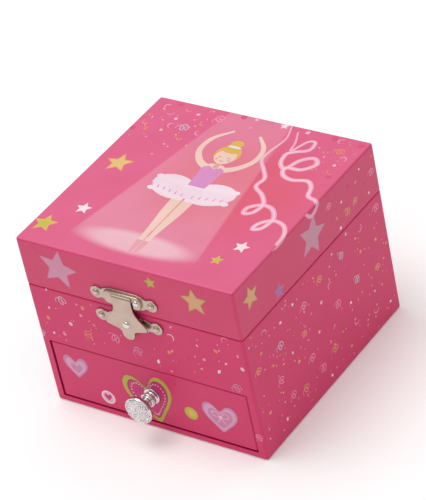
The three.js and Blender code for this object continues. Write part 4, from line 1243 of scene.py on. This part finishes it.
def make_latch(nickel, bright):
    """The lid's winged plate and staple, the swinging hasp and the case's winged catch."""
    plate_place = Vector((LATCH_X, FRONT, LATCH_PLATE_Z))
    plate = stamped("plate", [winged_plate(9.5, 4.0, 2.3)], 0.8, 0.2, nickel, plate_place, X, Z)
    staple_top = high("latch_plate").z - 0.7
    staple_foot = LATCH_PLATE_Z - 3.2
    slot_top = LATCH_PLATE_Z + 2.2
    outer = [
        (0, staple_top), (7.6, staple_top), (8.9, staple_top - 0.6), (9.3, staple_top - 1.8),
        (9.3, staple_foot + 1.6), (8.6, staple_foot + 0.4), (7.4, staple_foot), (5.2, staple_foot),
        (5.2, slot_top), (0, slot_top),
    ]
    staple_place = Vector((LATCH_X, FRONT - 0.3, 0))
    staple = stamped("staple", [mirrored(outer)], 1.7, 0.45, nickel, staple_place, X, Z)
    rivet_place = Vector((LATCH_X + 7.2, FRONT - 2.0, LATCH_PLATE_Z + 0.4))
    rivet = dome("rivet", rivet_place, 1.45, 0.8, -Y, bright)
    place_piece(joined("latch_plate_piece", [plate, staple, rivet]), "lid", "nickel", "latch_plate")

    pin_low = low("latch_pin")
    pin_high = high("latch_pin")
    pin_radius = (pin_high.z - pin_low.z) / 2
    pin_start = Vector((pin_low.x, middle("latch_pin").y, middle("latch_pin").z))
    length = pin_high.x - pin_low.x
    pin = turned("latch_pin_piece", [(pin_radius, 0), (pin_radius, length)], pin_start, X, bright, 20)
    place_piece(pin, "lid", "steel", "latch_pin")

    hasp_top = high("hasp").z
    hasp_foot = low("hasp").z
    flare = [
        (4.9, hasp_top - 1.0), (4.9, hasp_top - 5.4), (5.5, hasp_top - 7.8), (7.4, hasp_top - 10.6),
        (9.4, hasp_top - 12.6), (10.4, hasp_top - 14.2), (10.1, hasp_top - 15.7), (7.4, hasp_top - 16.5),
        (4.7, hasp_top - 17.2), (3.3, hasp_top - 18.2),
    ]
    half = [(0, hasp_top - 1.0)] + [tuple(point) for point in smooth_line(flare, 5)]
    for step in range(13):
        angle = math.radians(8) - math.radians(98) * step / 12
        half.append((3.2 * math.cos(angle), hasp_foot + 3.2 + 3.2 * math.sin(angle)))
    sheet_place = Vector((LATCH_X, low("hasp").y + 0.8, 0))
    sheet = stamped("sheet", [mirrored(half)], 0.8, 0.22, nickel, sheet_place, X, Z)
    knuckle_start = pin_start + X * (LATCH_X - 5 - pin_start.x)
    knuckle_profile = [(1.0, 0), (1.2, 0.2), (1.2, 9.8), (1.0, 10)]
    knuckle = turned("knuckle", knuckle_profile, knuckle_start, X, nickel, 28)
    stud_place = Vector((LATCH_X, low("hasp").y, CATCH_PLATE_Z - 0.3))
    stud = dome("stud", stud_place, 1.7, 0.9, -Y, bright)
    place_piece(joined("hasp_piece", [sheet, knuckle, stud]), "hasp", "nickel", "hasp")

    catch_place = Vector((LATCH_X, FRONT, CATCH_PLATE_Z))
    catch = stamped("catch", [winged_plate(8.5, 3.2, 2.3)], 0.8, 0.2, nickel, catch_place, X, Z)
    nose = stamped("nose", [ellipse((0, 0), 2.2, 1.6, sides=28)], 1.3, 0.3, nickel, catch_place, X, Z)
    place_piece(joined("catch_plate_piece", [catch, nose]), "case", "nickel", "catch_plate")

    for level, body in (("upper", "lid"), ("lower", "case")):
        for side in ("left", "right"):
            node = f"latch_nail_{level}_{side}"
            head = middle(node)
            head.y = low(node).y + 0.75
            nail = dome("head", head, 1.55, 0.75, -Y, nickel)
            recess = dome("recess", head - Y * 0.68, 0.55, 0.22, -Y, bright)
            place_piece(joined(node + "_piece", [nail, recess]), body, "nickel", node)


def make_knob(chrome, stones_finish, steel):
    """The drawer's knob: a turned bright neck and a flat head paved with glittering stones."""
    front_y = high("knob_stem").y
    neck_y = low("knob_stem").y
    tip_y = low("knob_head").y
    start = Vector((middle("knob_head").x, front_y, middle("knob_head").z))
    reach = front_y - neck_y
    neck = [
        (4.0, 0), (4.0, 0.7), (3.8, 1.0), (3.0, 1.3), (2.7, 1.9), (2.8, 2.6), (3.4, 2.9), (3.55, 3.4),
        (3.4, 3.9), (2.8, 4.2), (2.6, 4.8), (2.8, 5.6), (3.3, 6.4), (3.7, 7.2), (3.9, reach),
    ]
    line = [tuple(point) for point in smooth_line(neck, 4)]
    stem = turned("knob_stem_piece", [(0, 0), *line, (0, reach)], start, -Y, chrome, 56, 60)
    place_piece(stem, "drawer", "bright_chrome", "knob_stem")

    thickness = neck_y - tip_y
    cup = [
        (0, 0), (3.6, 0), (5.2, 0.35), (6.4, 1.1), (6.75, 2.0), (6.75, 2.7), (6.5, 3.1), (6.1, 3.2),
        (5.8, 3.1), (5.6, 3.4), (3.4, 3.75), (0, 3.9),
    ]
    head_start = start - Y * reach
    cup = [(radius, along * (thickness - 0.45) / 3.9) for radius, along in cup]
    parts = [turned("cup", cup, head_start, -Y, chrome, 64, 40)]
    crown = head_start - Y * (thickness - 0.55)
    stones = 110
    for number in range(stones):
        reach_out = 5.9 * math.sqrt((number + 0.4) / stones)
        angle = number * math.radians(137.508)
        drop = 0.45 * (reach_out / 5.9) ** 2
        place = crown + X * reach_out * math.cos(angle) + Z * reach_out * math.sin(angle) + Y * drop
        tilt = Matrix.Rotation(number * 1.7, 3, "Y")
        parts.append(ball("stone", place, (0.5, 0.36, 0.5), stones_finish, 1, tilt))
        parts[-1].data.polygons.foreach_set("use_smooth", [False] * len(parts[-1].data.polygons))
    place_piece(joined("knob_head_piece", parts), "drawer", "glitter_head", "knob_head")

    screw_low = low("knob_screw")
    screw_high = high("knob_screw")
    size = (screw_high.z - screw_low.z) / 2
    screw_start = Vector((start.x, screw_high.y, start.z))
    profile = [(0, 0), (size * 0.55, 0.05), (size * 0.9, 0.6), (size, 1.3), (size, 1.7), (1.2, 1.7)]
    profile.append((1.2, screw_high.y - screw_low.y))
    screw = turned("knob_screw_piece", profile, screw_start, -Y, steel, 32)
    place_piece(screw, "drawer", "steel", "knob_screw")


def make_key(chrome, nickel):
    """The winding key, a turned hub with a two-winged grip, and the eyelet round its hole."""
    eyelet = [(3.5, -0.6), (3.5, 0.1), (3.8, 0.45), (4.6, 0.45), (5.1, 0.0), (5.1, -0.2)]
    collar = solid("eyelet", lambda shape: eyelet_faces(shape, eyelet), nickel, 60)
    place_piece(collar, "case", "nickel")

    hub_low = low("winding_key")
    hub_high = high("winding_key")
    start = Vector((0, hub_low.y, KEY_Z))
    profile = [(1.5, 0), (2.7, 0), (3, 0.3), (3, 4.6), (2.6, 5.6), (2.0, 6.25), (0, 6.25)]
    hub = turned("hub", profile, start, Y, chrome, 40)
    half = [(0.0, hub_high.y - 2.6), (1.6, hub_high.y - 2.2)]
    for step in range(31):
        angle = math.radians(150 - 300 * step / 30)
        half.append((6.4 + 5.4 * math.cos(angle), 64.2 + 4 * math.sin(angle)))
    half += [(1.6, 60.9), (0, 60.6)]
    outline = mirrored(half)
    dishes = [ellipse((side * 6.9, 64.2), 2.3, 1.7, sides=28) for side in (-1, 1)]
    grip = stamped("grip", [outline], 1.8, 0.5, chrome, Vector((0, 0, KEY_Z - 0.9)), X, Y)
    parts = [hub, grip]
    for dish in dishes:
        for level in (KEY_Z - 1.05, KEY_Z + 0.65):
            parts.append(stamped("boss", [dish], 0.4, 0.15, chrome, Vector((0, 0, level)), X, Y))
    place_piece(joined("winding_key_piece", parts), "winder", "bright_chrome", "winding_key")


def eyelet_faces(shape, profile):
    """A turned ring that is open through its middle."""
    start = Vector((0, BACK, KEY_Z))
    rings = [ring_about(start + Y * along, Y, radius, 48) for radius, along in profile]
    bridge_rings(shape, [*rings, rings[0]], closed=False)


def dress_node(node, material, edge=0.12):
    """A part that keeps its CAD mesh gets its finish and a fine bevel that catches the light."""
    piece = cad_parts[node]
    piece.data.materials.clear()
    piece.data.materials.append(material)
    if edge:
        bevel = piece.modifiers.new("edges", "BEVEL")
        bevel.width = edge * MM
        bevel.segments = 2
        bevel.limit_method = "ANGLE"
        bevel.angle_limit = math.radians(40)
        bevel.harden_normals = True


def make_hinges(nickel, steel):
    for side in ("left", "right"):
        for leaf, body in (("case_leaf", "case"), ("lid_leaf", "lid")):
            node = f"hinge_{side}_{leaf}"
            dress_node(node, nickel)
            sheet = middle(node)
            level = low(node).z + 3 if leaf == "case_leaf" else high(node).z - 3
            for offset in (-5.5, 5.5):
                place = Vector((sheet.x + offset, BACK + 0.8, level))
                name = f"hinge_{side}_{leaf}_nail_{'a' if offset < 0 else 'b'}"
                place_piece(dome(name, place, 1.3, 0.55, Y, nickel), body, "nickel")
        dress_node(f"hinge_{side}_pin", steel, 0.1)


def make_mirror(glass, frame_card):
    """A small mirror with ground edges in a narrow card frame, under the lid."""
    corner_low = low("mirror")
    corner_high = high("mirror")
    rim = 2.6
    border = Skin()
    us = (corner_low.x + rim - LEFT, corner_high.x - rim - LEFT)
    vs = (BACK - corner_high.y + rim, BACK - corner_low.y - rim)
    hole = rectangle(us[0], vs[0], us[1], vs[1])
    add_box(border, corner_low, corner_high, {}, "card", 0.8, 0.5, 0.3, {"bottom": [hole]})
    outer = inset_rect(corner_low, corner_high, rim)
    inner = inset_rect(corner_low, corner_high, rim + 0.3)
    add_lip(border, outer, inner, corner_low.z, corner_low.z + 0.5, "card")
    place_piece(border.build("mirror_frame", {"card": frame_card}), "lid", "inner_lining")
    plate = Skin()
    plate_low = corner_low + Vector((rim, rim, 0.45))
    plate_high = corner_high - Vector((rim, rim, 0.1))
    add_box(plate, plate_low, plate_high, {}, "glass", 0.4, 0.3, 0.1)
    place_piece(plate.build("mirror_piece", {"glass": glass}), "lid", "mirror", "mirror")


def make_tray(flocking, satin_cloth):
    """The divider is wrapped card; the ring pad is a row of soft rolls, inflated as cloth."""
    divider_low = low("tray_divider")
    divider_high = high("tray_divider")
    cross_low = Vector((divider_low.x, divider_high.y - 2, divider_low.z))
    stem_high = Vector((1, cross_low.y + 0.2, divider_high.z))
    stem_low = Vector((-1, divider_low.y, divider_low.z))
    walls = Skin()
    add_box(walls, cross_low, divider_high, {}, "cloth", 0.5, 0.3, 0.8)
    add_box(walls, stem_low, stem_high, {}, "cloth", 0.5, 0.3, 0.8)
    divider = walls.build("tray_divider_piece", {"cloth": flocking})
    place_piece(divider, "case", "inner_lining", "tray_divider")

    pad_low = low("ring_pad")
    pad_high = high("ring_pad")
    rolls = 6
    per_roll = 4
    across = 12
    tall = 3
    counts = {"x": across, "y": rolls * per_roll, "z": tall}
    size = pad_high - pad_low
    block = Skin()
    for side, (u_way, v_way) in SIDES.items():
        names = ["xyz"[max(range(3), key=lambda k: abs(way[k]))] for way in (u_way, v_way)]
        origin, _, _, rect = side_frame(side, pad_low, pad_high)
        steps_u = counts[names[0]]
        steps_v = counts[names[1]]
        for i in range(steps_u):
            for j in range(steps_v):
                us = [rect[0] + (rect[2] - rect[0]) * (i + k) / steps_u for k in (0, 1)]
                vs = [rect[1] + (rect[3] - rect[1]) * (j + k) / steps_v for k in (0, 1)]
                corners = [origin + u_way * u + v_way * v for u, v in rectangle(us[0], vs[0], us[1], vs[1])]
                block.add(corners, [u_way.cross(v_way)] * 4, "satin")
    pad = block.build("ring_pad_piece", {"satin": satin_cloth})
    held = pad.vertex_groups.new(name="held")
    for vertex in pad.data.vertices:
        place = vertex.co / MM
        row = round((place.y - pad_low.y) / size.y * rolls * per_roll)
        rise = (place.z - pad_low.z) / size.z
        seam = row % per_roll == 0
        swell = 0.28 if seam else 0.86
        vertex.co.z = (pad_low.z + size.z * rise * swell) * MM
        if rise < 0.01 or seam:
            held.add([vertex.index], 1.0, "REPLACE")
    inflate(pad, held.name)
    for vertex in pad.data.vertices:
        vertex.co.x = min(max(vertex.co.x, pad_low.x * MM), pad_high.x * MM)
        vertex.co.y = min(max(vertex.co.y, pad_low.y * MM), pad_high.y * MM)
        vertex.co.z = min(vertex.co.z, pad_high.z * MM)
    smoothing = pad.modifiers.new("smooth", "SUBSURF")
    smoothing.levels = smoothing.render_levels = 2
    place_piece(pad, "case", "satin_pad", "ring_pad")


def inflate(pad, group):
    """Fills the sewn pad with air as cloth, then keeps the shape it settles in."""
    cloth = pad.modifiers.new("cloth", "CLOTH")
    settings = cloth.settings
    settings.use_pressure = True
    settings.uniform_pressure_force = 4
    settings.effector_weights.gravity = 0
    settings.vertex_group_mass = group
    settings.tension_stiffness = settings.compression_stiffness = 12
    cloth.point_cache.frame_start, cloth.point_cache.frame_end = 1, 20
    for number in range(1, 21):
        bpy.context.scene.frame_set(number)
    graph = bpy.context.evaluated_depsgraph_get()
    settled = [vertex.co.copy() for vertex in pad.evaluated_get(graph).data.vertices]
    pad.modifiers.remove(cloth)
    limit = 4 * MM
    for vertex, place in zip(pad.data.vertices, settled):
        move = place - vertex.co
        vertex.co += move * min(1, limit / max(move.length, 1e-9))
    bpy.context.scene.frame_set(1)


def make_dancer(skin_paint, cloth_paint, net, hair_paint, wire):
    """A small moulded dancer on one toe in a net skirt of three layers, on a spring above its turntable."""
    floor = low("dancer").z

    def at(x, y, z):
        return Vector((x, SPINDLE_Y + y, z))

    disc = [(1.3, 0), (7.5, 0), (7.5, 1.0), (7.3, 1.3), (6.9, 1.5), (5.6, 1.5), (5.4, 1.3), (1.3, 1.3)]
    plate = turned("turntable_piece", disc, at(0, 0, low("turntable").z), Z, cloth_paint, 56)
    place_piece(plate, "dancer", "figure", "turntable")

    toe_base = [(0, 0), (2.2, 0), (2.2, 0.5), (1.7, 0.8), (0, 0.9)]
    parts = [turned("toe_base", toe_base, at(0, 0, floor), Z, cloth_paint)]
    supporting = [(0, 0, 46.6), (0, 0, 49), (0.1, 0.1, 53), (0.2, 0, 59)]
    raised = [(0.6, 0, 58.5), (4.4, -1.6, 56.4), (6.9, -2.2, 54), (4.4, -1.5, 51.9), (1.0, -0.8, 50.3)]
    for name, knots, radii in (
        ("leg", supporting, [0.45, 0.85, 1.0, 1.35]),
        ("raised_leg", raised, [1.25, 1.1, 1.0, 0.8, 0.5]),
    ):
        parts.append(bent_rod(name, smooth_line([at(*knot) for knot in knots], 8), radii, skin_paint))
    shoe = [at(0, 0, level) for level in (46.5, 47.6, 48.6)]
    parts.append(bent_rod("shoe", shoe, [0.5, 0.82, 0.92], cloth_paint))
    bodice = [(1.4, 0), (2.15, 0.4), (1.75, 2.6), (1.7, 3.2), (2.35, 5.4), (2.5, 6.6), (2.2, 7.2)]
    parts.append(turned("bodice", bodice, at(0, 0, 59.4), Z, cloth_paint, 32, 60))
    neck = [(2.15, 0), (2.0, 0.5), (1.0, 1.4), (0.75, 2.2), (0.8, 3.4)]
    parts.append(turned("neck", neck, at(0, 0, 66.6), Z, skin_paint, 28, 60))
    parts.append(ball("head", at(0, 0, 72), (2.35, 2.45, 2.75), skin_paint))
    parts.append(ball("hair", at(0, 0.45, 72.65), (2.6, 2.5, 2.5), hair_paint))
    parts.append(ball("bun", at(0, 1.3, 75.2), (1.35, 1.35, 1.1), hair_paint))
    ring = [at(1.35 * math.cos(k * TAU / 24), 1.25 + 1.3 * math.sin(k * TAU / 24), 74.55) for k in range(25)]
    parts.append(bent_rod("band", ring, [0.28, 0.28], cloth_paint, 8))
    for sign in (-1, 1):
        arm = [(2.0, 0, 66.8), (4.2, -0.5, 68.6), (5.0, -0.9, 71.6), (3.9, -0.9, 74.8), (0.9, -0.6, 77.0)]
        line = smooth_line([at(sign * x, y, z) for x, y, z in arm], 8)
        parts.append(bent_rod("arm", line, [0.62, 0.6, 0.5, 0.42, 0.3], skin_paint))
        parts.append(ball("eye", at(sign * 0.95, -2.25, 72.1), (0.34, 0.12, 0.1), hair_paint, 2))
    for layer, (level, reach, lift) in enumerate(((57.9, 9.4, 0.5), (58.7, 10.3, 0.9), (59.5, 9.7, 1.3))):
        parts.append(net_skirt(f"skirt_{layer}", at(0, 0, level), reach, lift, 17 + 2 * layer, net))
    place_piece(joined("dancer_figure", parts), "dancer", "figure", "dancer")

    dress_node("dancer_spring", wire, 0)
    dress_node("dancer_spindle", wire, 0.08)


def net_skirt(name, centre, reach, lift, ruffles, net):
    """One stiff ruffled layer of a skirt, as a thin disc with two faces."""
    draw = random.Random(ruffles)
    phases = [draw.uniform(0, TAU) for _ in range(3)]
    sides = 168
    rows = 9
    hub = 1.5

    def corner(row, side):
        share = row / (rows - 1)
        angle = TAU * side / sides
        wave = math.sin(ruffles * angle + phases[0])
        wave += 0.4 * math.sin(2.3 * ruffles * angle + phases[1])
        rise = lift * math.sin(share * 1.4) + 0.5 * share**1.5 * wave
        radius = hub + (reach - hub) * share
        radius *= 1 + 0.03 * share * math.sin(ruffles * 0.5 * angle + phases[2])
        return centre + Vector((radius * math.cos(angle), radius * math.sin(angle), rise))

    def fill(shape):
        rings = [[corner(row, side) for side in range(sides)] for row in range(rows)]
        under = [[point - Z * 0.12 for point in ring] for ring in reversed(rings)]
        bridge_rings(shape, [*rings, *under, rings[0]], closed=False)

    return solid(name, fill, net, 60)


def dress_movement(brass, steel, cast, nylon, lining_satin):
    """The wind-up movement keeps its CAD meshes: cast bed, brass wheels, steel comb and arbors."""
    finishes = {
        cast: ("bedplate", "cylinder_bracket", "governor_frame"),
        brass: ("spring_barrel", "crown_wheel", "cylinder_drum", "cylinder_wheel"),
        steel: ("mainspring", "comb", "cylinder_arbor", "winding_arbor", "fly_arbor", "stop_pin"),
        nylon: ("governor_gear", "fly_fan", "spindle_bush"),
    }
    for material, nodes in finishes.items():
        for node in nodes:
            dress_node(node, material, 0.08)
    dress_node("lid_lining", lining_satin, 0.2)


set_camera()
set_studio()
inks = make_inks()
flocking = flock("tray_flock", "E88FB0")
nickel = metal("nickel_plate", "C3AFA1", 0.3)
bright = metal("bright_nickel", "E4E0DC", 0.12)
chrome = metal("bright_chrome", "DEDCDE", 0.07)
steel = metal("bare_steel", "A9A7A4", 0.32, brushed=(1, 12, 1))
brass = metal("brass", "C9A052", 0.28)
cast = metal("cast_zinc", "A3A19C", 0.45)
nylon = moulded("white_nylon", "EDE9DF", 0.4, 0.1)
glass = silvered("mirror_silver")
satin_cloth = satin("pad_satin", "E995B4")
frame_card = paper("frame_card", "E7B0C6")

make_case(inks, flocking)
make_lid(inks, flocking)
make_drawer(inks, flocking)
make_latch(nickel, bright)
make_knob(chrome, glitter("stone_glitter", "C9BBC4"), steel)
make_key(chrome, nickel)
make_hinges(nickel, steel)
make_mirror(glass, frame_card)
make_tray(flocking, satin_cloth)
make_dancer(
    moulded("figure_skin", "F0C9B4", 0.38, 0.25),
    moulded("figure_pink", "E889B4", 0.3),
    tulle("skirt_net", "F6DCE8"),
    moulded("figure_hair", "6B4027", 0.4),
    bright,
)
dress_movement(brass, steel, cast, nylon, satin("lid_satin", "F0B3C8"))
